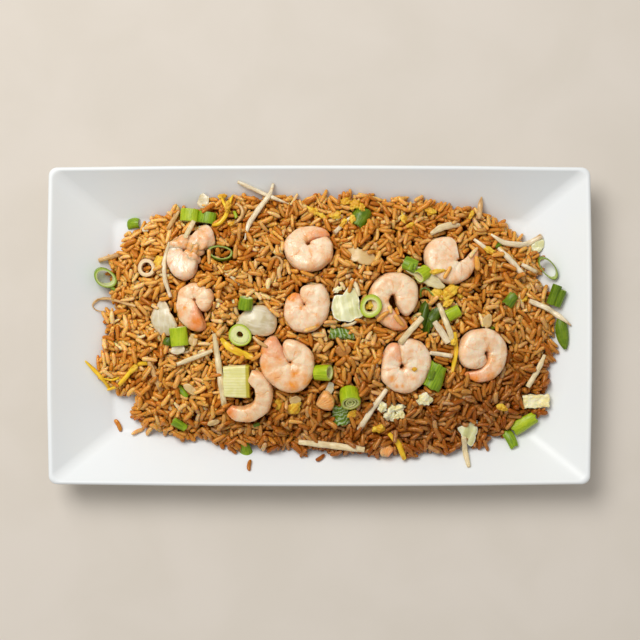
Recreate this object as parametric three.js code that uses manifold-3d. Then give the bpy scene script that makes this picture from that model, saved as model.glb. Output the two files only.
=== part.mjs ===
// Prawn fried rice heaped on an oblong white porcelain platter.
// The platter has a flat floor, four sloping sides that meet in mitred corners, a rolled lip and a foot.
// The rice is one solid out to its uneven outline. Prawns, vegetables and egg lie on it in sockets of their
// own. Units are millimetres, +Z is up. The origin is on the table under the middle of the platter, and +X
// runs along its length.
import * as THREE from "three";
import { mergeVertices } from "three/addons/utils/BufferGeometryUtils.js";
import Module from "manifold-3d";

const wasm = await Module();
wasm.setup();

const GAP = 0.3; // clearance between pieces that touch
const DEG = Math.PI / 180;

// ---- Driving dimensions -------------------------------------------------------------------------

const PLATTER = {
  length: 305,
  width: 180,
  height: 26,
  floorLength: 233,
  floorWidth: 119,
  floorTop: 6.5,
  footHeight: 2,
  footWidth: 5,
  cornerRadius: 8,
  sideBow: 0.8, // how far the middle of each side stands out past its corners
};

const RICE = {
  centreX: 5,
  length: 254,
  width: 148,
  squareness: 3, // exponent of the superellipse outline
  rise: 25, // height of the middle above the edge
  edge: 2.6, // thickness of the last grain at the edge
  lump: 0.9, // height of the lumps on the surface
};

// Bays and bulges of the outline: direction from the middle, share of the radius, and how wide they spread.
const OUTLINE_FEATURES = [
  { direction: 14, share: -0.025, spread: 5 },
  { direction: 44, share: -0.02, spread: 6 },
  { direction: 65, share: -0.04, spread: 4 },
  { direction: 104, share: -0.04, spread: 6 },
  { direction: 155, share: 0.03, spread: 12 },
  { direction: 190, share: 0.03, spread: 6 },
  { direction: 225, share: -0.065, spread: 8 },
  { direction: 251, share: -0.07, spread: 5 },
  { direction: 269, share: -0.05, spread: 9 },
  { direction: 319, share: 0.03, spread: 7 },
  { direction: 337, share: 0.035, spread: 7 },
];

// Prawns lie on their sides, curled round a middle. start and sweep are the angles covered from head to
// tail. reach is the distance of the body's centre line from the middle, and thick the body's radius, each
// at five equal steps.
const PRAWNS = [
  {
    name: "prawn_1", at: [-73, 41], start: 290, sweep: -272, reach: [10.6, 9.8, 6.9, 8, 9.8],
    thick: [5.4, 6, 5, 5, 5.4],
  },
  {
    name: "prawn_2", at: [-68.5, 11.5], start: 24, sweep: 248, reach: [6.7, 7.2, 7.2, 7.2, 13.9],
    thick: [3.9, 5.6, 6.1, 6, 2.2],
  },
  {
    name: "prawn_3", at: [-6, 42], start: 13, sweep: -330, reach: [8.8, 8.8, 8.1, 8.1, 15],
    thick: [6.8, 7, 6.9, 5.8, 1.5],
  },
  {
    name: "prawn_4", at: [-8.5, 9.5], start: 90, sweep: -292, reach: [9.4, 7.8, 7.8, 6.2, 10],
    thick: [4.6, 6.9, 6.9, 6, 2.5],
  },
  {
    name: "prawn_5", at: [-18, -21], start: 58, sweep: -286, reach: [9.4, 9.6, 11.1, 8.5, 13],
    thick: [6.6, 7.2, 6.8, 7.2, 5.4],
  },
  {
    name: "prawn_7", at: [41.5, 14.5], start: -33, sweep: 322, reach: [8.9, 9.4, 9.4, 11.7, 15],
    thick: [5.3, 6.7, 6.4, 6, 2.6],
  },
  {
    name: "prawn_8", at: [71.5, 37], start: 71, sweep: 306, reach: [7.2, 7.2, 8.3, 8.9, 15],
    thick: [5.8, 6.7, 6.1, 5.3, 2.3],
  },
  {
    name: "prawn_9", at: [47, -22.5], start: 70, sweep: -290, reach: [9.6, 8.3, 8.9, 8.7, 9.6],
    thick: [6.1, 6.9, 6.9, 6.5, 4.4],
  },
  {
    name: "prawn_10", at: [92, -15.5], start: 214, sweep: -348, reach: [8.6, 8.8, 8.1, 9.9, 16.4],
    thick: [6.1, 6.8, 6.7, 6, 1.4],
  },
  {
    name: "prawn_6", at: [-43, -36], start: 70, sweep: -205, reach: [12.2, 11.8, 11.6, 12.2, 11.4],
    thick: [3.6, 4.8, 5, 4.8, 2.8],
  },
  {
    name: "prawn_tail_end", at: [-2.4, -43.6], start: 60, sweep: -75,
    reach: [6.4, 6.4, 6.4, 6.4, 6.4], thick: [4.8, 5.2, 5, 4.4, 3],
  },
  {
    name: "prawn_piece_at_edge", at: [39, -76], start: 110, sweep: -70, reach: [7, 7, 7, 7, 7],
    thick: [2.8, 3.6, 3.8, 3.6, 3],
  },
];
const PRAWN_FLATNESS = 0.92; // height of the body over its width, lying on its side
const PRAWN_MIDDLE_ABOVE_RICE = 2;
const CURL_HOLE = 1.2; // radius left open in the middle of a curl

// Cut spring onion, ring or tube. across is the outer diameter, squash its flattening, lean the tilt of its
// axis away from upright, and yaw the direction in which it leans.
const ONION_TUBES = [
  {
    name: "spring_onion_ring_at_left", at: [-121.4, 27.4], across: 13.6, squash: 0.74, long: 5,
    wall: 1.2, lean: 24, yaw: -40, tone: "green",
  },
  {
    name: "spring_onion_pair_a", at: [-73.4, 62.4], across: 8.6, squash: 0.7, long: 6.6, wall: 1.1,
    lean: 90, yaw: 84, tone: "green",
  },
  {
    name: "spring_onion_pair_b", at: [-63.5, 61], across: 8.8, squash: 0.62, long: 6.2, wall: 1.1,
    lean: 90, yaw: 76, tone: "green",
  },
  {
    name: "spring_onion_loop", at: [-55.5, 40.5], across: 14.2, squash: 0.6, long: 1.8, wall: 0.9,
    lean: 4, yaw: -4, tone: "green",
  },
  {
    name: "onion_root_ring", at: [-97, 32.5], across: 10.8, squash: 0.95, long: 3, wall: 2,
    lean: 12, yaw: -20, tone: "cream",
  },
  {
    name: "spring_onion_tube_lime", at: [-78.5, -6], across: 8.6, squash: 0.8, long: 10.4,
    wall: 1.2, lean: 90, yaw: 92, tone: "lime",
  },
  {
    name: "spring_onion_ring_lime", at: [-44, -5], across: 12.3, squash: 0.92, long: 4.2,
    wall: 2.6, lean: 12, yaw: 110, tone: "lime",
  },
  {
    name: "spring_onion_ring_middle", at: [28.5, 11], across: 12.3, squash: 0.92, long: 4.4,
    wall: 1.9, lean: 16, yaw: 130, tone: "lime",
  },
  {
    name: "spring_onion_tube_a", at: [50.5, 34], across: 8.2, squash: 0.75, long: 7.4, wall: 1.1,
    lean: 90, yaw: 65, tone: "green",
  },
  {
    name: "spring_onion_tube_b", at: [57.5, 29], across: 7.4, squash: 0.8, long: 7.6, wall: 1.1,
    lean: 90, yaw: 28, tone: "green",
  },
  {
    name: "spring_onion_tube_c", at: [74.5, 7], across: 6.8, squash: 0.85, long: 7.6, wall: 1.2,
    lean: 90, yaw: 28, tone: "lime",
  },
  {
    name: "spring_onion_loop_at_right", at: [129, 32.6], across: 14, squash: 0.6, long: 2.2,
    wall: 0.9, lean: 4, yaw: -48, tone: "green",
  },
  {
    name: "spring_onion_tube_at_right", at: [133.6, 17], across: 7.6, squash: 0.8, long: 11.4,
    wall: 1.1, lean: 90, yaw: 78, tone: "green",
  },
  {
    name: "spring_onion_tube_d", at: [2, -26], across: 8.8, squash: 0.9, long: 9, wall: 1.3,
    lean: 80, yaw: 8, tone: "lime",
  },
  {
    name: "spring_onion_ring_thick", at: [17, -40], across: 12.6, squash: 0.86, long: 7, wall: 3.6,
    lean: 34, yaw: -84, tone: "lime",
  },
  {
    name: "spring_onion_stub", at: [-41, 12.5], across: 8, squash: 0.85, long: 6, wall: 1.1,
    lean: 60, yaw: 90, tone: "dark",
  },
];

// Slit spring onion leaf, a gutter-shaped strip. arc is how much of the round is left.
const ONION_STRIPS = [
  {
    name: "spring_onion_leaf_top", at: [23, 61.2], across: 9.6, arc: 150, long: 9, thick: 1.1,
    yaw: 62, tone: "dark",
  },
  {
    name: "spring_onion_leaf_middle", at: [12.6, -4.6], across: 7.6, arc: 116, long: 13, thick: 1,
    yaw: -4, tone: "dark",
  },
  {
    name: "spring_onion_leaf_a", at: [57.8, 4.6], across: 7.6, arc: 100, long: 17, thick: 0.9,
    yaw: 82, tone: "dark",
  },
  {
    name: "spring_onion_leaf_b", at: [64.8, 5.8], across: 7.6, arc: 110, long: 9, thick: 0.9,
    yaw: 60, tone: "dark",
  },
  {
    name: "spring_onion_leaf_at_right", at: [136.4, -4], across: 8.4, arc: 120, long: 18, thick: 1,
    yaw: -79, tone: "green",
  },
  {
    name: "spring_onion_leaf_low", at: [12.5, -50.5], across: 12.4, arc: 120, long: 9.6,
    thick: 1.2, yaw: 92, tone: "dark",
  },
  {
    name: "spring_onion_leaf_large", at: [64.5, -29], across: 13.6, arc: 190, long: 9.4,
    thick: 1.2, yaw: 148, tone: "green",
  },
  {
    name: "spring_onion_leaf_at_corner", at: [116.6, -56.6], across: 9, arc: 110, long: 13.4,
    thick: 1.1, yaw: 22, tone: "lime",
  },
  {
    name: "spring_onion_leaf_under_corner", at: [108, -64], across: 7.4, arc: 110, long: 9,
    thick: 1, yaw: -62, tone: "green",
  },
];

// Petals: curved patches of onion and cabbage. dome is the height of the arch along and across.
const PETALS = [
  {
    name: "onion_wedge", at: [-85.5, 6.5], long: 19, wide: 12.5, dome: 3, thick: 2, pointed: 0.5,
    yaw: -62, tone: "onion",
  },
  {
    name: "onion_petal", at: [-34, 2.5], long: 22, wide: 15.6, dome: 4.4, thick: 2.2,
    pointed: 0.12, yaw: 24, tone: "onion",
  },
  {
    name: "onion_slice", at: [24.5, 38], long: 15.5, wide: 8.6, dome: 2.4, thick: 1.8,
    pointed: 0.6, yaw: -14, tone: "onion",
  },
  {
    name: "onion_strip", at: [58.5, 23], long: 21.5, wide: 8, dome: 2.4, thick: 1.8, pointed: 0.3,
    yaw: -27, tone: "onion",
  },
  {
    name: "cabbage_leaf", at: [15, 10.5], long: 19, wide: 15, dome: 2.2, thick: 1.4, pointed: 0.15,
    yaw: 74, tone: "cabbage",
  },
  {
    name: "cabbage_tip", at: [85.6, -60], long: 11, wide: 14, dome: 1.6, thick: 1.3, pointed: 0.85,
    yaw: 172, tone: "cabbage",
  },
];

// A block of leek cut across its layers, which show as ribs.
const LEEK = {
  name: "leek_chunk", at: [-46, -31], along: 15.2, across: 18.2, height: 5.4,
  ribs: 10, ribDepth: 0.55, yaw: 1,
};
const EGG_SLAB = {
  name: "egg_slab", at: [122.4, -42.6], long: 15, wide: 7.4, height: 4.4, bevel: 0.8, yaw: 2,
};
const EGG_CURD = { name: "egg_curd", at: [42.5, -48.5], radii: [6.2, 5.4, 3.4], lump: 0.16, yaw: 20 };

const COLOURS = {
  porcelain: { color: 0xf1f0ec, roughness: 0.2 },
  rice: { color: 0xb97f3a, roughness: 0.5 },
  prawn: { color: 0xf0cdb2, roughness: 0.4 },
  green: { color: 0x5e9a1f, roughness: 0.45 },
  lime: { color: 0xa3c23c, roughness: 0.45 },
  dark: { color: 0x2c6b24, roughness: 0.45 },
  cream: { color: 0xe6c798, roughness: 0.5 },
  onion: { color: 0xded5b4, roughness: 0.35 },
  cabbage: { color: 0xdde2a6, roughness: 0.4 },
  leek: { color: 0xd3dc7f, roughness: 0.45 },
  egg: { color: 0xf3e3a0, roughness: 0.5 },
};

// ---- Helpers ------------------------------------------------------------------------------------

// Joins equal rings of an even number of points into one closed skin. Rungs across the ring close each end.
function skin(rings) {
  const count = rings[0].length;
  const faces = [];
  for (let r = 0; r + 1 < rings.length; r++) {
    for (let i = 0; i < count; i++) {
      const a = r * count + i;
      const b = r * count + ((i + 1) % count);
      faces.push(a, b, b + count, a, b + count, a + count);
    }
  }
  const last = (rings.length - 1) * count;
  for (let i = 0; i < count / 2 - 1; i++) {
    const [a, b, c, d] = [i, i + 1, count - 2 - i, count - 1 - i];
    faces.push(c, b, a, d, c, a, last + a, last + b, last + c, last + a, last + c, last + d);
  }
  return new THREE.BufferGeometry().setFromPoints(rings.flat()).setIndex(faces);
}

// A geometry as a manifold-3d solid, moved by a matrix. Faces that point inwards are turned round.
function solidOf(geometry, matrix = new THREE.Matrix4()) {
  const bare = new THREE.BufferGeometry();
  bare.setAttribute("position", geometry.getAttribute("position").clone());
  if (geometry.index) bare.setIndex(geometry.index);
  const merged = mergeVertices(bare.applyMatrix4(matrix), 1e-4);
  const make = (triVerts) =>
    new wasm.Manifold(
      new wasm.Mesh({ numProp: 3, vertProperties: merged.attributes.position.array, triVerts }),
    );
  const triVerts = new Uint32Array(merged.index.array);
  const solid = make(triVerts);
  return solid.volume() > 0 ? solid : make(triVerts.reverse());
}

function geometryOf(solid) {
  const { numProp, numVert, vertProperties, triVerts } = solid.getMesh();
  const positions = new Float32Array(numVert * 3);
  for (let i = 0; i < numVert; i++) {
    positions.set(vertProperties.subarray(i * numProp, i * numProp + 3), i * 3);
  }
  const geometry = new THREE.BufferGeometry();
  geometry.setAttribute("position", new THREE.BufferAttribute(positions, 3));
  return geometry.setIndex([...triVerts]);
}

const largest = (solid) => solid.decompose().reduce((a, b) => (a.volume() > b.volume() ? a : b));

function meshOf(name, geometry, colour) {
  const faceted = geometry.index ? geometry.toNonIndexed() : geometry;
  faceted.computeVertexNormals();
  const material = new THREE.MeshStandardMaterial({ ...COLOURS[colour], metalness: 0 });
  const mesh = new THREE.Mesh(faceted, material);
  mesh.name = name;
  return mesh;
}

// ---- Platter ------------------------------------------------------------------------------------

const WALL_RUN_X = (PLATTER.length - PLATTER.floorLength) / 2;
const WALL_RUN_Y = (PLATTER.width - PLATTER.floorWidth) / 2;
const WALL_TOP = PLATTER.height - 1.1;
const LIP_RUN = 3.7; // from the platter's edge to where the sloping side begins
const WALL_SLOPE_X = (WALL_TOP - PLATTER.floorTop) / (WALL_RUN_X - LIP_RUN);
const WALL_SLOPE_Y = WALL_SLOPE_X * (WALL_RUN_X / WALL_RUN_Y);

// Height of the platter's inner surface, without the fillets.
function platterSurface(x, y) {
  const upX = (Math.abs(x) - PLATTER.floorLength / 2) * WALL_SLOPE_X;
  const upY = (Math.abs(y) - PLATTER.floorWidth / 2) * WALL_SLOPE_Y;
  return PLATTER.floorTop + Math.max(0, upX, upY);
}

// A rounded oblong at height z, run millimetres in from the platter's edge along X.
// Past the floor's edge the ends and the sides move in equally.
function platterRing(run, z) {
  const onWall = Math.min(run, WALL_RUN_X);
  const onFloor = run - onWall;
  const halfLength = PLATTER.length / 2 - onWall - onFloor;
  const halfWidth = PLATTER.width / 2 - (onWall * WALL_RUN_Y) / WALL_RUN_X - onFloor;
  const bow = PLATTER.sideBow * (1 - onWall / WALL_RUN_X);
  const radius = PLATTER.cornerRadius - onWall / WALL_RUN_X;
  const points = [];
  const corner = (signX, signY, from) => {
    for (let i = 0; i <= 5; i++) {
      const angle = (from + i * 18) * DEG;
      const x = signX * (halfLength - bow - radius) + radius * Math.cos(angle);
      const y = signY * (halfWidth - radius) + radius * Math.sin(angle);
      points.push(new THREE.Vector3(x, y, z));
    }
  };
  const endMiddle = (sign) => points.push(new THREE.Vector3(sign * halfLength, 0, z));
  const sidePoints = (sign) => {
    for (const share of [0.5, 0, -0.5]) {
      points.push(new THREE.Vector3(sign * share * halfLength, sign * halfWidth, z));
    }
  };
  endMiddle(1);
  corner(1, 1, 0);
  sidePoints(1);
  corner(-1, 1, 90);
  endMiddle(-1);
  corner(-1, -1, 180);
  sidePoints(-1);
  corner(1, -1, 270);
  return points;
}

function platterGeometry() {
  const { height, floorTop, footHeight, footWidth } = PLATTER;
  const footRun = WALL_RUN_X + 2.5;
  const section = [
    [footRun + footWidth + 1, footHeight],
    [footRun + footWidth, 0],
    [footRun, 0],
    [WALL_RUN_X, footHeight + 0.4],
    [1.4, height - 5.4],
    [0.2, height - 3.6],
    [0, height - 1.8],
    [0.5, height - 0.5],
    [1.6, height],
    [LIP_RUN, WALL_TOP],
    [WALL_RUN_X - 1.4, floorTop + 1.4 * WALL_SLOPE_X],
    [WALL_RUN_X + 1.6, floorTop],
  ];
  return skin(section.map(([run, z]) => platterRing(run, z)));
}

// ---- Rice ---------------------------------------------------------------------------------------

function outlineShare(angle) {
  const degrees = (angle / DEG + 360) % 360;
  let share = 1.005 + 0.006 * Math.sin(11 * angle + 0.8) + 0.005 * Math.sin(17 * angle + 2.1);
  for (const feature of OUTLINE_FEATURES) {
    const away = ((degrees - feature.direction + 540) % 360) - 180;
    share += feature.share * Math.exp(-((away / feature.spread) ** 2));
  }
  return share;
}

// 0 in the middle of the heap, 1 on its outline.
function heapRadius(x, y) {
  const { centreX, length, width, squareness } = RICE;
  const u = Math.abs(x - centreX) / (length / 2);
  const v = Math.abs(y) / (width / 2);
  return (u ** squareness + v ** squareness) ** (1 / squareness) / outlineShare(Math.atan2(y, x - centreX));
}

function riceTop(x, y) {
  const rho = heapRadius(x, y);
  if (rho >= 1) return platterSurface(x, y);
  const cover = RICE.rise * (1 - rho ** 2.6) ** 0.85;
  const lumps = RICE.lump * (Math.sin(x / 7.5 + 0.7) * Math.sin(y / 6.1 + 1.9) + Math.sin((x + y) / 11.3));
  return platterSurface(x, y) + RICE.edge + cover + lumps * (1 - rho);
}

function heapRing(rho, heightAt) {
  const sectors = 44;
  const { centreX, length, width, squareness } = RICE;
  const points = [];
  for (let i = 0; i < sectors; i++) {
    const angle = (i / sectors) * 2 * Math.PI;
    const reach = (Math.abs(Math.cos(angle) / (length / 2)) ** squareness
      + Math.abs(Math.sin(angle) / (width / 2)) ** squareness) ** (-1 / squareness);
    const r = rho * reach * outlineShare(angle);
    const x = centreX + r * Math.cos(angle);
    const y = r * Math.sin(angle);
    points.push(new THREE.Vector3(x, y, heightAt(x, y)));
  }
  return points;
}

function riceGeometry() {
  const insideFloor = () => PLATTER.floorTop / 2;
  const shares = [0.999, 0.96, 0.9, 0.8, 0.67, 0.52, 0.35, 0.12];
  const base = [heapRing(0.3, insideFloor), heapRing(0.999, insideFloor)];
  return skin([...base, ...shares.map((share) => heapRing(share, riceTop))]);
}

// ---- Prawns -------------------------------------------------------------------------------------

// The value at t, from 0 to 1, of a list that is spread evenly, eased between its entries.
function eased(list, t) {
  const place = Math.min(1, Math.max(0, t)) * (list.length - 1);
  const i = Math.min(list.length - 2, Math.floor(place));
  return THREE.MathUtils.lerp(list[i], list[i + 1], THREE.MathUtils.smoothstep(place - i, 0, 1));
}

// A body swept round its middle. grow makes it fatter all over, for the socket.
function prawnGeometry({ start, sweep, reach, thick }, grow = 0) {
  const steps = 7;
  const sides = 8;
  const spineAt = (t) => {
    const angle = (start + sweep * t) * DEG;
    const radius = eased(reach, t);
    return new THREE.Vector3(radius * Math.cos(angle), radius * Math.sin(angle), 0);
  };
  const ring = (t, share) => {
    const along = spineAt(t + 0.03).sub(spineAt(t - 0.03)).normalize();
    const outwards = new THREE.Vector3(along.y, -along.x, 0).multiplyScalar(Math.sign(sweep));
    const radius = eased(thick, t) * share + grow;
    const inwardLimit = eased(reach, t) - CURL_HOLE + grow; // the inside of the curl leaves its middle open
    const centre = spineAt(t);
    const fromMiddle = centre.clone().normalize();
    return Array.from({ length: sides }, (_, i) => {
      const turn = ((i + 0.5) / sides) * 2 * Math.PI;
      const across = Math.max(-inwardLimit, radius * Math.cos(turn));
      const way = across < 0 ? fromMiddle : outwards;
      return centre.clone().addScaledVector(way, across).setZ(PRAWN_FLATNESS * radius * Math.sin(turn));
    });
  };
  const growAlong = grow / (Math.abs(sweep) * DEG * 8);
  const rings = [ring(-0.02 - growAlong, 0.7)];
  for (let i = 0; i <= steps; i++) rings.push(ring(0.02 + (i / steps) * 0.95, 1));
  rings.push(ring(1 + growAlong, 0.55));
  return skin(rings);
}

// ---- Vegetables and egg -------------------------------------------------------------------------

// A ring or a tube. Its socket is solid and has fewer sides, set outside the piece's own.
function tubeGeometry({ across, squash, long, wall, lean, yaw }, grow = 0) {
  const sides = grow ? 6 : 10;
  const outer = grow ? (across / 2 + grow) / Math.cos(Math.PI / sides) : across / 2;
  const inner = grow ? 0 : across / 2 - wall;
  const half = long / 2 + grow;
  const profile = [[inner, -half], [outer, -half], [outer, half], [inner, half]];
  if (inner > 0) profile.push([inner, -half]);
  const geometry = new THREE.LatheGeometry(profile.map(([x, y]) => new THREE.Vector2(x, y)), sides);
  geometry.rotateX(90 * DEG); // the axis from Y to Z
  if (lean > 45) {
    geometry.scale(squash, 1, 1); // a tube on its side is flattened from above
    geometry.rotateY(lean * DEG);
  } else {
    geometry.scale(1, squash, 1);
    geometry.rotateY(lean * DEG);
  }
  return geometry.rotateZ(yaw * DEG);
}

// A gutter with its back up and its crest at the origin.
function stripGeometry({ across, arc, long, thick, yaw }, grow = 0) {
  const outer = across / 2 + grow;
  const inner = across / 2 - thick - grow;
  const half = (arc / 2) * DEG + grow / (across / 2);
  const shape = new THREE.Shape();
  shape.absarc(0, 0, outer, Math.PI / 2 - half, Math.PI / 2 + half, false);
  shape.absarc(0, 0, inner, Math.PI / 2 + half, Math.PI / 2 - half, true);
  const options = { depth: long + 2 * grow, bevelEnabled: false, curveSegments: 4 };
  const geometry = new THREE.ExtrudeGeometry(shape, options);
  geometry.translate(0, -across / 2, -long / 2 - grow);
  geometry.rotateX(90 * DEG).rotateZ(-90 * DEG);
  return geometry.rotateZ(yaw * DEG);
}

function petalGeometry({ long, wide, dome, thick, pointed, yaw }, grow = 0) {
  const steps = 4;
  const across = 3;
  const rings = [];
  for (let i = 0; i <= steps; i++) {
    const u = i / steps;
    const taper = 1 - pointed * u ** 2;
    const rounding = Math.sqrt(Math.max(0.12, 1 - (2 * u - 1) ** 4));
    const half = (wide / 2) * taper * rounding + grow;
    const x = (u - 0.5) * (long + 2 * grow);
    const loop = [];
    for (const side of [1, -1]) {
      for (let j = 0; j <= across; j++) {
        const y = side * (1 - (2 * j) / across) * half;
        const arch = dome * (1 - 0.55 * ((2 * y) / wide) ** 2 - 0.45 * ((2 * x) / long) ** 2);
        loop.push(new THREE.Vector3(x, y, arch + side * (thick / 2 + 1.4 * grow)));
      }
    }
    rings.push(loop);
  }
  return skin(rings).rotateZ(yaw * DEG);
}

// A chunk cut across a leek's white: its layers show as ribs along X.
function leekGeometry({ along, across, height, ribs, ribDepth, yaw }, grow = 0) {
  const half = across / 2 + grow;
  const pitch = (2 * half) / ribs;
  const shape = new THREE.Shape();
  shape.moveTo(-half, -height / 2 - grow);
  shape.lineTo(half, -height / 2 - grow);
  for (let i = 0; i < ribs; i++) {
    const y = half - i * pitch;
    const crown = height / 2 + grow - 0.9 * ((y - pitch / 2) / half) ** 2;
    shape.lineTo(y - (i === 0 ? 0 : 0.08 * pitch), crown - ribDepth);
    shape.lineTo(y - pitch / 2, crown);
  }
  shape.lineTo(-half, height / 2 + grow - 0.9 - ribDepth);
  const geometry = new THREE.ExtrudeGeometry(shape, { depth: along + 2 * grow, bevelEnabled: false });
  geometry.translate(0, 0, -along / 2 - grow);
  geometry.rotateX(90 * DEG).rotateZ(90 * DEG);
  return geometry.rotateZ(yaw * DEG);
}

function slabGeometry({ long, wide, height, bevel, yaw }, grow = 0) {
  const [x, y] = [long / 2 - bevel + grow, wide / 2 - bevel + grow];
  const shape = new THREE.Shape([
    new THREE.Vector2(-x, -y), new THREE.Vector2(x, -y),
    new THREE.Vector2(x, y), new THREE.Vector2(-x, y),
  ]);
  const depth = height - 2 * bevel + 2 * grow;
  const options = { depth, bevelSize: bevel, bevelThickness: bevel, bevelSegments: 1 };
  return new THREE.ExtrudeGeometry(shape, options).translate(0, 0, -depth / 2).rotateZ(yaw * DEG);
}

function curdGeometry({ radii, lump, yaw }, grow = 0) {
  const geometry = new THREE.IcosahedronGeometry(1, 1);
  const position = geometry.getAttribute("position");
  for (let i = 0; i < position.count; i++) {
    const p = new THREE.Vector3().fromBufferAttribute(position, i);
    const swell = 1 + lump * (Math.sin(4 * p.x + 1) + Math.cos(5 * p.y + p.z));
    p.multiplyScalar(swell);
    position.setXYZ(i, p.x * (radii[0] + grow), p.y * (radii[1] + grow), p.z * (radii[2] + grow));
  }
  return geometry.rotateZ(yaw * DEG);
}

// ---- Laying the pieces on the rice --------------------------------------------------------------

// A frame over the surface at [x, y], higher by above. Its Z axis follows the slope as far as pieces lean.
function frameOnRice([x, y], above) {
  const step = 5;
  const most = 0.6;
  const slope = (rise) => THREE.MathUtils.clamp(rise / (2 * step), -most, most);
  const slopeX = slope(riceTop(x + step, y) - riceTop(x - step, y));
  const slopeY = slope(riceTop(x, y + step) - riceTop(x, y - step));
  const normal = new THREE.Vector3(-slopeX, -slopeY, 1).normalize();
  const turn = new THREE.Quaternion().setFromUnitVectors(new THREE.Vector3(0, 0, 1), normal);
  const place = new THREE.Vector3(x, y, riceTop(x, y) + above);
  return new THREE.Matrix4().compose(place, turn, new THREE.Vector3(1, 1, 1));
}

const platter = solidOf(platterGeometry());
const roomForPlatter = platter.translate([0, 0, GAP]);
const laid = [];
const sockets = [];

// Lays a piece at its height and lifts it until it is clear of the platter and of the pieces laid before it.
// Where clearing a piece would lift it by more than the most, it sinks in instead, and that piece gives way
// round it.
function lay(spec, makeGeometry, above, colour) {
  const step = 0.3;
  const most = 2.4;
  const overlaps = (one, other) => one.intersect(other).volume() > 1e-6;
  const matrix = frameOnRice(spec.at, above);
  const lift = new THREE.Matrix4().makeTranslation(0, 0, step);
  const touched = (solid) => laid.filter((other) => overlaps(solid, other.solid));
  let room = solidOf(makeGeometry(spec, GAP), matrix);
  for (let lifted = 0; overlaps(room, platter) || (lifted < most && touched(room).length); lifted += step) {
    matrix.premultiply(lift);
    room = room.translate([0, 0, step]);
  }
  for (const other of touched(room)) other.solid = largest(other.solid.subtract(room));
  laid.push({ name: spec.name, solid: solidOf(makeGeometry(spec), matrix), colour });
  sockets.push(room);
}

for (const prawn of PRAWNS) lay(prawn, prawnGeometry, PRAWN_MIDDLE_ABOVE_RICE, "prawn");
for (const petal of PETALS) lay(petal, petalGeometry, -petal.dome * 0.2, petal.tone);
lay(EGG_SLAB, slabGeometry, 0.8, "egg");
lay(EGG_CURD, curdGeometry, 0.6, "egg");
lay(LEEK, leekGeometry, 1.6, "leek");
for (const strip of ONION_STRIPS) lay(strip, stripGeometry, 1, strip.tone);
for (const tube of ONION_TUBES) {
  const height = tube.lean > 45 ? tube.across * tube.squash : tube.long;
  lay(tube, tubeGeometry, height * 0.28, tube.tone);
}

let rice = solidOf(riceGeometry()).subtract(roomForPlatter);
for (const socket of sockets) rice = rice.subtract(socket);

const group = new THREE.Group();
group.add(meshOf("platter", platterGeometry(), "porcelain"));
group.add(meshOf("fried_rice", geometryOf(largest(rice)), "rice"));
for (const { name, solid, colour } of laid) group.add(meshOf(name, geometryOf(solid), colour));

export default group;
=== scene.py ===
# %% [markdown]
# # Prawn fried rice on an oblong porcelain platter
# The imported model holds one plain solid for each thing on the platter, at its real size and place. This
# lesson gives each of them its looks: glazed porcelain, some thousands of single grains of rice, curled
# prawns, cut spring onion, onion, cabbage, leek and egg. Sizes are written in millimetres and multiplied by
# MM, because Blender works in metres.

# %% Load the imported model
import math

import bmesh
import bpy
import numpy as np
from mathutils import Matrix, Vector, noise
from mathutils.bvhtree import BVHTree


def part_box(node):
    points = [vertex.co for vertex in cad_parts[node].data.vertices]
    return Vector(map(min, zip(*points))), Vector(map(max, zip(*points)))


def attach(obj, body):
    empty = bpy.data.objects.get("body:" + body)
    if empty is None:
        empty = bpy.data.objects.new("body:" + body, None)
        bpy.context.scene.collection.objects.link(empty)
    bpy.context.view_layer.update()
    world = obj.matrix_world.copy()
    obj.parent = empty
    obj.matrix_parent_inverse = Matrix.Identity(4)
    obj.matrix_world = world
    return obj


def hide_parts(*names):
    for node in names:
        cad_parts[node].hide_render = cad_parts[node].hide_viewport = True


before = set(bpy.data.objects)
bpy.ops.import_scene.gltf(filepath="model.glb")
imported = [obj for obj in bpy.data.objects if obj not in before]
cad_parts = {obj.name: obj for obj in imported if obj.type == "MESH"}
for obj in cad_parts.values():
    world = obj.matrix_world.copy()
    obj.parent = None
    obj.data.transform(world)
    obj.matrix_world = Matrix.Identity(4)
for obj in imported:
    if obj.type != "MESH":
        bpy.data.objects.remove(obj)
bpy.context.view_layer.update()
MM = 0.001

# %% [markdown]
# ## Camera and light
# The dish is looked at straight from above, from about a metre, with a long lens, so that its sides hardly
# lean. A large soft lamp stands up to the left of the dish's head. It is wide enough to soften the shadows
# and small enough to leave them dark between the grains. A weak even light from all round fills them.

# %% Camera, lamp and floor
CAMERA_PLACE = (0.3 * MM, 3.25 * MM, 1026 * MM)
CAMERA_LENS = 100.3  # millimetres, for a sensor of 36 mm

camera_data = bpy.data.cameras.new("camera")
camera_data.lens = CAMERA_LENS
camera_data.sensor_width = 36
camera_data.clip_start = 0.01
camera = bpy.data.objects.new("camera", camera_data)
camera.location = CAMERA_PLACE
bpy.context.scene.collection.objects.link(camera)
bpy.context.scene.camera = camera


def add_lamp(name, place, size, watts, colour):
    """A square area lamp at a place, turned towards the middle of the dish."""
    lamp_data = bpy.data.lights.new(name, "AREA")
    lamp_data.size = size
    lamp_data.energy = watts
    lamp_data.color = colour
    lamp = bpy.data.objects.new(name, lamp_data)
    lamp.location = place
    lamp.rotation_mode = "QUATERNION"
    lamp.rotation_quaternion = (-Vector(place)).to_track_quat("-Z", "Y")
    bpy.context.scene.collection.objects.link(lamp)


add_lamp("soft_lamp", (-0.56, 0.74, 1.4), 0.9, 22, (1.0, 0.985, 0.96))

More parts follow.
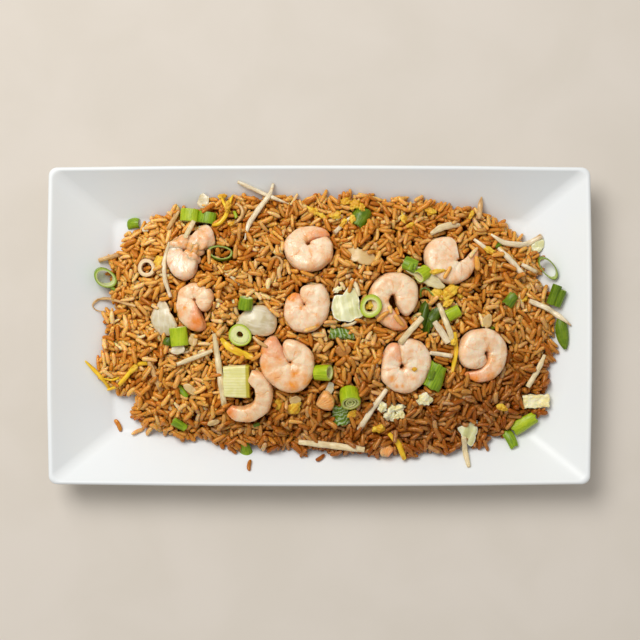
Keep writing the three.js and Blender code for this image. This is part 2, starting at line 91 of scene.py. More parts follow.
world = bpy.data.worlds.new("studio")
bpy.context.scene.world = world
world.use_nodes = True
world.node_tree.nodes["Background"].inputs["Color"].default_value = (1.0, 0.98, 0.95, 1)
world.node_tree.nodes["Background"].inputs["Strength"].default_value = 0.45
bpy.context.scene.view_settings.view_transform = "Standard"
print("camera", CAMERA_LENS, "mm lens,", round(CAMERA_PLACE[2], 3), "m up")

# %% [markdown]
# ## Helpers for modelling
# An edit-mode operator acts on whatever is selected. So every piece begins with nothing else selected, and
# edges or faces are then picked by a test on their place. `finish` bakes the object's place into its mesh,
# hangs the piece on the body of the imported model and hides the node that it stands for.

# %% Starting, picking and finishing a piece


def nothing_selected():
    if bpy.context.object and bpy.context.object.mode != "OBJECT":
        bpy.ops.object.mode_set(mode="OBJECT")
    bpy.ops.object.select_all(action="DESELECT")


def begin(operator, **settings):
    """Adds a new object with nothing else selected, and gives it back."""
    nothing_selected()
    operator(**settings)
    return bpy.context.object


def only(piece):
    """Makes the piece the one that operators act on."""
    nothing_selected()
    piece.select_set(True)
    bpy.context.view_layer.objects.active = piece
    return piece


def edit():
    bpy.ops.object.mode_set(mode="EDIT")


def leave_edit():
    bpy.ops.object.mode_set(mode="OBJECT")


def pick(kind, test):
    """In edit mode, selects the edges or the faces whose middle passes the test."""
    mesh = bpy.context.object.data
    bm = bmesh.from_edit_mesh(mesh)
    bpy.ops.mesh.select_mode(type={"edges": "EDGE", "faces": "FACE"}[kind])
    bpy.ops.mesh.select_all(action="DESELECT")
    for part in getattr(bm, kind):
        if kind == "edges":
            middle = (part.verts[0].co + part.verts[1].co) / 2
        else:
            middle = part.calc_center_median()
        if test(middle):
            part.select_set(True)
    bm.select_flush_mode()
    bmesh.update_edit_mesh(mesh)


def turn_selected(angle, axis):
    """Rotates what is selected about the origin. Without a window the operator turns the other way, so the
    angle is negated."""
    bpy.ops.transform.rotate(value=-angle, orient_axis=axis, center_override=(0, 0, 0))


def apply_modifier(piece, kind, **settings):
    """Adds a modifier to the piece and applies it at once."""
    only(piece)
    modifier = piece.modifiers.new(kind.lower(), kind)
    for name, value in settings.items():
        setattr(modifier, name, value)
    bpy.ops.object.modifier_apply(modifier=modifier.name)


def subdivide_surface(piece, levels=1):
    apply_modifier(piece, "SUBSURF", levels=levels, render_levels=levels)


def round_edges(piece, width, least_turn=50):
    """Bevels the edges that turn by more than this angle, in degrees. The width is in millimetres."""
    apply_modifier(piece, "BEVEL", width=width * MM, segments=2, limit_method="ANGLE",
                   angle_limit=math.radians(least_turn))


def join(pieces):
    """Joins pieces into the first one."""
    nothing_selected()
    for piece in pieces:
        piece.select_set(True)
    bpy.context.view_layer.objects.active = pieces[0]
    bpy.ops.object.join()
    return pieces[0]


def points_of(piece):
    """The piece's vertices as an array of rows, in millimetres."""
    flat = np.empty(len(piece.data.vertices) * 3)
    piece.data.vertices.foreach_get("co", flat)
    return flat.reshape(-1, 3) / MM


def set_points(piece, points):
    piece.data.vertices.foreach_set("co", (np.asarray(points) * MM).ravel())
    piece.data.update()


def reshape(piece, rule):
    """Moves each vertex to where the rule puts it. The rule takes and gives an array in millimetres."""
    set_points(piece, rule(points_of(piece)))


def noise_over(u, v, layer):
    """Smooth noise, about -1 to 1, at each pair of coordinates."""
    return np.array([noise.noise((a, b, layer)) for a, b in zip(u, v)])


def turned(u, v, angle):
    """Two coordinates, turned by an angle in radians."""
    return u * math.cos(angle) - v * math.sin(angle), u * math.sin(angle) + v * math.cos(angle)


def store(piece, name, values):
    """Keeps a value for each vertex, for the piece's material to read."""
    values = np.asarray(values, np.float32)
    kind = "FLOAT" if values.ndim == 1 else "FLOAT_VECTOR"
    layer = piece.data.attributes.get(name) or piece.data.attributes.new(name, kind, "POINT")
    layer.data.foreach_set("value" if values.ndim == 1 else "vector", values.ravel())


def remember_place(piece):
    """Keeps each vertex's place in the piece's own upright frame, in millimetres, so that a pattern in its
    material follows the piece however it comes to lie."""
    store(piece, "own_place", points_of(piece))


def apply_place(piece):
    only(piece)
    bpy.ops.object.transform_apply(location=True, rotation=True, scale=True)


def finish(piece, name, slot, material, *nodes, smooth=50):
    """Names the piece, gives it its material and body, and hides the nodes that it stands for."""
    apply_place(piece)
    bpy.ops.object.shade_smooth_by_angle(angle=math.radians(smooth))
    piece.name = piece.data.name = name
    piece.data.materials.clear()
    piece.data.materials.append(material)
    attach(piece, "root")
    if nodes:
        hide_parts(*nodes)
    return piece


# %% [markdown]
# ## Helpers for finishes
# Every material starts from a Principled BSDF whose even values are set on the shader itself. What changes
# over the surface comes from three small node groups that all the food shares: soft patches, long fibres
# and fine specks. Each takes a place and gives a mask between 0 and 1, which the material turns into colour
# and relief.

# %% Node groups shared by the materials


def new_group(name, **numbers):
    """A node group that takes a place and some numbers and gives a mask, and its two end nodes."""
    group = bpy.data.node_groups.new(name, "ShaderNodeTree")
    group.interface.new_socket("Place", in_out="INPUT", socket_type="NodeSocketVector")
    for socket, value in numbers.items():
        made = group.interface.new_socket(socket, in_out="INPUT", socket_type="NodeSocketFloat")
        made.default_value = value
    group.interface.new_socket("Mask", in_out="OUTPUT", socket_type="NodeSocketFloat")
    return group, group.nodes.new("NodeGroupInput"), group.nodes.new("NodeGroupOutput")


def one_over(group, socket):
    """1 divided by a size in millimetres, which is a texture's scale."""
    invert = group.nodes.new("ShaderNodeMath")
    invert.operation = "DIVIDE"
    invert.inputs[0].default_value = 1.0
    group.links.new(socket, invert.inputs[1])
    return invert.outputs[0]


def make_patches_group():
    """Soft uneven patches, Size across. Low and High say where the mask starts and where it is full."""
    group, start, end = new_group("patches", Size=1.0, Low=0.3, High=0.7)
    cloud = group.nodes.new("ShaderNodeTexNoise")
    cloud.inputs["Detail"].default_value = 3.0
    cloud.inputs["Distortion"].default_value = 0.4
    spread = group.nodes.new("ShaderNodeMapRange")
    spread.interpolation_type = "SMOOTHSTEP"
    link = group.links.new
    link(one_over(group, start.outputs["Size"]), cloud.inputs["Scale"])
    link(start.outputs["Place"], cloud.inputs["Vector"])
    link(cloud.outputs["Fac"], spread.inputs["Value"])
    link(start.outputs["Low"], spread.inputs["From Min"])
    link(start.outputs["High"], spread.inputs["From Max"])
    link(spread.outputs["Result"], end.inputs["Mask"])
    return group


def make_fibres_group():
    """Fine lines along X, Width apart."""
    group, start, end = new_group("fibres", Width=0.5)
    stretch = group.nodes.new("ShaderNodeVectorMath")
    stretch.operation = "MULTIPLY"
    stretch.inputs[1].default_value = (0.07, 1.0, 1.0)
    lines = group.nodes.new("ShaderNodeTexNoise")
    lines.inputs["Detail"].default_value = 2.0
    link = group.links.new
    link(start.outputs["Place"], stretch.inputs[0])
    link(stretch.outputs[0], lines.inputs["Vector"])
    link(one_over(group, start.outputs["Width"]), lines.inputs["Scale"])
    link(lines.outputs["Fac"], end.inputs["Mask"])
    return group


def make_specks_group():
    """Small round specks, Spacing apart. Share is how large they are, of the spacing."""
    group, start, end = new_group("specks", Spacing=2.0, Share=0.2)
    cells = group.nodes.new("ShaderNodeTexVoronoi")
    spread = group.nodes.new("ShaderNodeMapRange")
    spread.inputs["From Min"].default_value = 0.0
    spread.inputs["To Min"].default_value = 1.0
    spread.inputs["To Max"].default_value = 0.0
    link = group.links.new
    link(start.outputs["Place"], cells.inputs["Vector"])
    link(one_over(group, start.outputs["Spacing"]), cells.inputs["Scale"])
    link(cells.outputs["Distance"], spread.inputs["Value"])
    link(start.outputs["Share"], spread.inputs["From Max"])
    link(spread.outputs["Result"], end.inputs["Mask"])
    return group


GROUPS = {
    "patches": make_patches_group(),
    "fibres": make_fibres_group(),
    "specks": make_specks_group(),
}
print("node groups:", ", ".join(GROUPS))

# %% [markdown]
# A material is written as a chain of small steps. This helper class keeps the steps short: each method adds
# one node and gives back the socket that carries its result. A colour is written as it looks on a screen,
# as red, green and blue from 0 to 255.

# %% A short way to write a material


def linear(red, green, blue):
    """A colour as the light values that a shader takes."""
    def one(value):
        share = value / 255
        return share / 12.92 if share <= 0.04045 else ((share + 0.055) / 1.055) ** 2.4
    return (one(red), one(green), one(blue), 1.0)


class Finish:
    """A material being made. place is the socket with the place that its patterns follow, in millimetres."""

    def __init__(self, name, own_place=False, **even_values):
        self.material = bpy.data.materials.new(name)
        self.material.use_nodes = True
        self.tree = self.material.node_tree
        self.shader = self.tree.nodes["Principled BSDF"]
        for socket, value in even_values.items():
            self.shader.inputs[socket.replace("_", " ")].default_value = value
        if own_place:
            self.place = self.attribute("own_place", "Vector")
        else:
            in_millimetres = self.add("VectorMath")
            in_millimetres.operation = "SCALE"
            in_millimetres.inputs["Scale"].default_value = 1 / MM
            self.feed(in_millimetres.inputs[0], self.add("TexCoord").outputs["Object"])
            self.place = in_millimetres.outputs[0]

    def add(self, kind):
        return self.tree.nodes.new("ShaderNode" + kind)

    def feed(self, socket, value):
        """Links a value to the socket, or sets it there. A tuple is a colour."""
        if isinstance(value, bpy.types.NodeSocket):
            self.tree.links.new(value, socket)
        else:
            socket.default_value = linear(*value) if isinstance(value, tuple) else value

    def attribute(self, name, output="Fac"):
        node = self.add("Attribute")
        node.attribute_name = name
        return node.outputs[output]

    def math(self, operation, first, second=0.0):
        node = self.add("Math")
        node.operation = operation
        self.feed(node.inputs[0], first)
        self.feed(node.inputs[1], second)
        return node.outputs[0]

    def plus(self, first, second):
        return self.math("ADD", first, second)

    def times(self, first, second):
        return self.math("MULTIPLY", first, second)

    def between(self, value, low, high):
        """0 below low, 1 above high, and smooth between them."""
        node = self.add("MapRange")
        node.interpolation_type = "SMOOTHSTEP"
        self.feed(node.inputs["Value"], value)
        self.feed(node.inputs["From Min"], low)
        self.feed(node.inputs["From Max"], high)
        return node.outputs["Result"]

    def group(self, name, **values):
        node = self.add("Group")
        node.node_tree = GROUPS[name]
        self.feed(node.inputs["Place"], values.pop("place", self.place))
        for socket, value in values.items():
            self.feed(node.inputs[socket.capitalize()], value)
        return node.outputs["Mask"]

    def patches(self, size, low=0.3, high=0.7):
        return self.group("patches", size=size, low=low, high=high)

    def mix(self, mask, first, second):
        """The first colour where the mask is 0, the second where it is 1."""
        node = self.add("Mix")
        node.data_type = "RGBA"
        self.feed(node.inputs["Factor"], mask)
        self.feed(node.inputs["A"], first)
        self.feed(node.inputs["B"], second)
        return node.outputs["Result"]

    def ramp(self, value, *stops):
        """Colours along a value. Each stop is a position and a colour."""
        node = self.add("ValToRGB")
        while len(node.color_ramp.elements) < len(stops):
            node.color_ramp.elements.new(0.5)
        for element, (position, colour) in zip(node.color_ramp.elements, stops):
            element.position = position
            element.color = linear(*colour)
        self.feed(node.inputs["Fac"], value)
        return node.outputs["Color"]

    def split(self, vector):
        node = self.add("SeparateXYZ")
        self.feed(node.inputs[0], vector)
        return node.outputs

    def colour(self, value):
        self.feed(self.shader.inputs["Base Color"], value)

    def roughness(self, mask, low, high):
        node = self.add("MapRange")
        self.feed(node.inputs["Value"], mask)
        node.inputs["To Min"].default_value = low
        node.inputs["To Max"].default_value = high
        self.feed(self.shader.inputs["Roughness"], node.outputs["Result"])

    def relief(self, mask, height):
        """Relief as deep as height, in millimetres, where the mask goes from 0 to 1."""
        node = self.add("Bump")
        node.inputs["Strength"].default_value = 1.0
        node.inputs["Distance"].default_value = height * MM
        self.feed(node.inputs["Height"], mask)
        self.feed(self.shader.inputs["Normal"], node.outputs["Normal"])


# %% [markdown]
# ## Floor
# The dish stands on a plain pale floor, a little warm, which only takes its shadow. It isn't part of the
# dish.

# %% Floor
floor = begin(bpy.ops.mesh.primitive_plane_add, size=6)
floor.name = "floor"
floor_finish = Finish("pale_floor", Roughness=0.9)
floor_finish.colour(floor_finish.mix(floor_finish.patches(60.0), (210, 202, 191), (214, 206, 196)))
floor.data.materials.append(floor_finish.material)

# %% [markdown]
# ## Platter
# The platter is slip-cast porcelain with a clear glaze: a flat floor, four sides that slope up and meet in
# soft mitres, a rolled lip and a low foot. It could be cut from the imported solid, but that one has few
# faces at its corners. So it is drawn again over the same section: an oblong is extruded ring by ring from
# the foot, over the lip and down to the floor. Then the mitres are bevelled round, and a second bevel
# softens the lip.

# %% Platter, drawn ring by ring over its section
PLATTER_LENGTH, PLATTER_WIDTH = 306.6, 180.4
FLOOR_LENGTH, FLOOR_WIDTH, FLOOR_TOP = 233, 119, 6.5
PLATTER_HEIGHT = 26
WALL_RUN_X = (PLATTER_LENGTH - FLOOR_LENGTH) / 2
WALL_RUN_Y = (PLATTER_WIDTH - FLOOR_WIDTH) / 2
WALL_TOP, LIP_RUN = PLATTER_HEIGHT - 1.1, 3.7
WALL_SLOPE_X = (WALL_TOP - FLOOR_TOP) / (WALL_RUN_X - LIP_RUN)
WALL_SLOPE_Y = WALL_SLOPE_X * WALL_RUN_X / WALL_RUN_Y
CORNER_RADIUS, SIDE_BOW, LIP_SOFTNESS = 4, 1.2, 0.5
CUTS_ACROSS = (-0.75, -0.5, -0.25, 0, 0.25, 0.5, 0.75)  # shares of half the floor's length or width

# How far in from the edge each ring of the section is, and its height.
PLATTER_SECTION = [
    (44.5, 2), (43.5, 0.4), (42.6, 0), (39.2, 0), (38.4, 0.5), (36, 2.4), (1.4, 20.6), (0.3, 22.4), (0, 24.0),
    (0.3, 25.2), (1.0, 25.8), (1.9, 26), (2.8, 25.7), (3.7, 24.9), (34.2, 7.5), (35.6, 6.8), (37.6, 6.5),
]


def half_sizes(run):
    """Half the length and half the width of the platter's ring that is run in from its edge."""
    on_wall = min(run, WALL_RUN_X)
    on_floor = run - on_wall
    return (PLATTER_LENGTH / 2 - on_wall - on_floor,
            PLATTER_WIDTH / 2 - on_wall * WALL_RUN_Y / WALL_RUN_X - on_floor)


half_x, half_y = half_sizes(PLATTER_SECTION[0][0])
platter = begin(bpy.ops.mesh.primitive_plane_add, size=2 * MM, location=(0, 0, PLATTER_SECTION[0][1] * MM))
edit()
bpy.ops.transform.resize(value=(half_x, half_y, 1), center_override=(0, 0, 0))
for (run, height), (next_run, next_height) in zip(PLATTER_SECTION, PLATTER_SECTION[1:]):
    bpy.ops.mesh.extrude_region_move(
        TRANSFORM_OT_translate={"value": (0, 0, (next_height - height) * MM)})
    (half_x, half_y), (next_x, next_y) = half_sizes(run), half_sizes(next_run)
    bpy.ops.transform.resize(value=(next_x / half_x, next_y / half_y, 1), center_override=(0, 0, 0))
leave_edit()
print("platter section:", len(PLATTER_SECTION), "rings,", len(platter.data.polygons), "faces")

# %% [markdown]
# The mitre edges run from ring to ring at the four corners: both ends of such an edge lie at a corner, at
# different heights or distances. A bevel of constant width along them gives the round corners of the lip, and
# on the sloping sides the same bevel is the soft mitre. Long sides get cuts across, so that they can bow out.

# %% Round corners, bowed sides and soft edges
edit()
corner_edges = bmesh.from_edit_mesh(platter.data)
bpy.ops.mesh.select_mode(type="EDGE")
bpy.ops.mesh.select_all(action="DESELECT")
for edge in corner_edges.edges:
    one, other = edge.verts
    edge.select_set(one.co.x * other.co.x > 0 and one.co.y * other.co.y > 0)
bmesh.update_edit_mesh(platter.data)
bpy.ops.mesh.bevel(offset=CORNER_RADIUS * MM, segments=8, affect="EDGES", clamp_overlap=True)
for share in CUTS_ACROSS:
    bpy.ops.mesh.select_all(action="SELECT")
    bpy.ops.mesh.bisect(plane_co=(share * FLOOR_LENGTH / 2 * MM, 0, 0), plane_no=(1, 0, 0))
for share in CUTS_ACROSS:
    bpy.ops.mesh.select_all(action="SELECT")
    bpy.ops.mesh.bisect(plane_co=(0, share * FLOOR_WIDTH / 2 * MM, 0), plane_no=(0, 1, 0))
bpy.ops.mesh.select_all(action="SELECT")
bpy.ops.mesh.normals_make_consistent(inside=False)
leave_edit()


def bow_sides(points):
    """The middle of each side stands out a little past the corners, most at the lip."""
    x, y = points[:, 0], points[:, 1]
    out_x = np.clip((abs(x) - FLOOR_LENGTH / 2) / WALL_RUN_X, 0, 1)
    out_y = np.clip((abs(y) - FLOOR_WIDTH / 2) / WALL_RUN_Y, 0, 1)
    along_x = (abs(x) / (PLATTER_LENGTH / 2)) ** 2
    along_y = (abs(y) / (PLATTER_WIDTH / 2)) ** 2
    points[:, 0] -= np.sign(x) * SIDE_BOW * out_x * along_y
    points[:, 1] -= np.sign(y) * SIDE_BOW * out_y * along_x
    return points


reshape(platter, bow_sides)
round_edges(platter, LIP_SOFTNESS, least_turn=25)

# %% [markdown]
# Glaze is a clear glass coat over a white body. The colour hardly changes, only a breath of warmer and
# cooler white in large patches and a rare pinhole. What gives it away as porcelain is its gloss, with the
# very slight waviness of a surface that was liquid in the kiln.

# %% Glazed porcelain
glaze = Finish("glazed_porcelain", Coat_Weight=0.06, Coat_Roughness=0.3, Specular_IOR_Level=0.3)
white = glaze.mix(glaze.patches(45.0, 0.35, 0.65), (231, 235, 237), (233, 236, 236))
glaze.colour(glaze.mix(glaze.group("specks", spacing=17.0, share=0.018), white, (205, 196, 182)))
glaze.roughness(glaze.patches(20.0), 0.36, 0.46)
glaze.relief(glaze.patches(28.0, 0.2, 0.8), 0.05)
finish(platter, "porcelain_platter", "porcelain", glaze.material, "platter")
print("platter box in mm:", points_of(platter).min(0).round(1), points_of(platter).max(0).round(1))

# %% [markdown]
# ## The heap's shape
# The rice lies in a low mound with an uneven outline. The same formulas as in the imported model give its
# height over any point, so that grains, prawns and vegetables agree with the solids. Everything is in
# millimetres, and the functions take whole arrays of points.

# %% Height of the platter and of the heap
HEAP_CENTRE_X, HEAP_LENGTH, HEAP_WIDTH = 5, 254, 148
HEAP_SQUARENESS = 3
HEAP_CROWN, HEAP_FLANK = 2.6, 0.85  # exponents: how flat the mound is on top, how steep at its edge
HEAP_RISE, HEAP_EDGE, HEAP_LUMP = 25, 2.6, 0.9
# Bays and bulges of the outline: direction, share of the radius, spread.
OUTLINE_FEATURES = [
    (14, -0.025, 5), (44, -0.02, 6), (65, -0.04, 4), (104, -0.04, 6), (155, 0.03, 12), (190, 0.03, 6),
    (225, -0.065, 8), (251, -0.07, 5), (269, -0.05, 9), (319, 0.03, 7), (337, 0.035, 7),
]


def platter_surface(x, y):
    up_x = (abs(x) - FLOOR_LENGTH / 2) * WALL_SLOPE_X
    up_y = (abs(y) - FLOOR_WIDTH / 2) * WALL_SLOPE_Y
    return FLOOR_TOP + np.maximum(0, np.maximum(up_x, up_y))


def outline_share(angle):
    degrees = np.degrees(angle) % 360
    share = 1.005 + 0.006 * np.sin(11 * angle + 0.8) + 0.005 * np.sin(17 * angle + 2.1)
    for direction, amount, spread in OUTLINE_FEATURES:
        away = (degrees - direction + 540) % 360 - 180
        share = share + amount * np.exp(-((away / spread) ** 2))
    return share


def heap_radius(x, y):
    """0 in the middle of the heap, 1 on its outline."""
    u = abs(x - HEAP_CENTRE_X) / (HEAP_LENGTH / 2)
    v = abs(y) / (HEAP_WIDTH / 2)
    even = (u**HEAP_SQUARENESS + v**HEAP_SQUARENESS) ** (1 / HEAP_SQUARENESS)
    return even / outline_share(np.arctan2(y, x - HEAP_CENTRE_X))


def heap_top(x, y):
    rho = np.minimum(heap_radius(x, y), 1)
    cover = HEAP_RISE * (1 - rho**HEAP_CROWN) ** HEAP_FLANK
    lumps = HEAP_LUMP * (np.sin(x / 7.5 + 0.7) * np.sin(y / 6.1 + 1.9) + np.sin((x + y) / 11.3))
    return platter_surface(x, y) + np.where(rho < 1, HEAP_EDGE + cover + lumps * (1 - rho), 0)


print("heap is", round(float(heap_top(HEAP_CENTRE_X, 0)), 1), "mm high in the middle")

# %% [markdown]
# ## Core of the heap
# Only the grains near the surface can be seen. Under them lies a brown core that fills the heap, so that no
# gap shows the platter. It starts as a ball: each ring of the ball becomes a ring of the heap, the upper
# half under the grains and the lower half on the platter. Lumps the size of grains roughen it.

# %% Core
CORE_DEPTH = 3.0  # how far the core lies under the heap's surface
CORE_OUTLINE = 0.89  # share of the heap's outline
CORE_GAP = 0.3  # how far over the platter its underside is
CORE_LUMP, CORE_LUMP_SIZE = 0.8, 2.6

core = begin(bpy.ops.mesh.primitive_uv_sphere_add, segments=320, ring_count=160, radius=1 * MM)


def ball_to_core(points):
    angle = np.arctan2(points[:, 1], points[:, 0])
    rho = np.hypot(points[:, 0], points[:, 1]) * CORE_OUTLINE
    reach = (abs(np.cos(angle) / (HEAP_LENGTH / 2)) ** HEAP_SQUARENESS
             + abs(np.sin(angle) / (HEAP_WIDTH / 2)) ** HEAP_SQUARENESS) ** (-1 / HEAP_SQUARENESS)
    x = HEAP_CENTRE_X + rho * reach * outline_share(angle) * np.cos(angle)
    y = rho * reach * outline_share(angle) * np.sin(angle)
    on_platter = platter_surface(x, y) + CORE_GAP
    rough = noise_over(x / CORE_LUMP_SIZE, y / CORE_LUMP_SIZE, 0.5)
    top = np.maximum(heap_top(x, y) - CORE_DEPTH + CORE_LUMP * rough, on_platter + 0.2)
    share_up = np.clip(points[:, 2] * 8 + 0.5, 0, 1)
    return np.column_stack([x, y, on_platter + (top - on_platter) * share_up])


reshape(core, ball_to_core)

# %% Core's finish
WARM_GLOSS = (1.0, 0.8, 0.5, 1.0)  # the gloss of a film of soy sauce and oil
sauce = Finish("sauce_soaked_rice", Roughness=0.5, Subsurface_Weight=0.4, Subsurface_Scale=1.6 * MM,
               Subsurface_Radius=(1.0, 0.4, 0.1), Specular_IOR_Level=0.2, Specular_Tint=WARM_GLOSS)
sauce.colour(sauce.mix(sauce.patches(1.8, 0.4, 0.6), (140, 62, 4), (186, 108, 28)))
sauce.relief(sauce.patches(1.4), 0.6)
print("core:", len(core.data.polygons), "faces")

# %% [markdown]
# ## Laying a piece where its node is
# Prawns and vegetables are modelled upright at the origin. Each is then leaned and turned as its solid is,
# tipped to the slope of the heap under it, and moved until the middle of its box is the middle of the node's.

# %% Leaning and placing
STEEPEST = 0.6  # pieces don't follow a steeper slope than this
SLOPE_STEP = 5


def tip_at(x, y):
    """The turn that tips an upright piece to the heap's slope, as far as pieces lean."""
    slope_x = (heap_top(x + SLOPE_STEP, y) - heap_top(x - SLOPE_STEP, y)) / (2 * SLOPE_STEP)
    slope_y = (heap_top(x, y + SLOPE_STEP) - heap_top(x, y - SLOPE_STEP)) / (2 * SLOPE_STEP)
    slope_x, slope_y = (max(-STEEPEST, min(STEEPEST, float(slope))) for slope in (slope_x, slope_y))
    return Vector((0, 0, 1)).rotation_difference(Vector((-slope_x, -slope_y, 1)).normalized())


def lie_at(piece, x, y, z, yaw=0, lean=0, roll=0):
    """Rolls the piece about X, leans it and turns it, in degrees, tips it to the heap's slope and moves the
    middle of its box to this place, in millimetres."""
    turn = Matrix.Rotation(math.radians(yaw), 3, "Z") @ Matrix.Rotation(math.radians(lean), 3, "Y")
    turn = turn @ Matrix.Rotation(math.radians(roll), 3, "X")
    piece.rotation_euler = (tip_at(x, y).to_matrix() @ turn).to_euler()
    apply_place(piece)
    points = points_of(piece)
    middle = (points.min(0) + points.max(0)) / 2
    piece.location = (Vector((x, y, z)) - Vector(middle)) * MM
    apply_place(piece)


def lie_like(piece, node, yaw=0, lean=0, roll=0):
    """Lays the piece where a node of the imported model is."""
    low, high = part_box(node)
    lie_at(piece, *((low + high) / 2 / MM), yaw, lean, roll)


TOPPINGS = []  # every piece that lies in or on the rice

# %% [markdown]
# ## Prawns
# A peeled prawn is a thick tail of six segments that curls up tight when it is cooked, and it lies on its
# side. It starts as a straight cylinder with a ring of vertices at each station, and is then curled in one
# step: every ring is turned to its direction round the middle of the curl, and stretched between the inner
# and the outer edge that the body has there. The section is a squarish oval. Four stations to a segment
# leave a crease at its start and a swell in its middle.

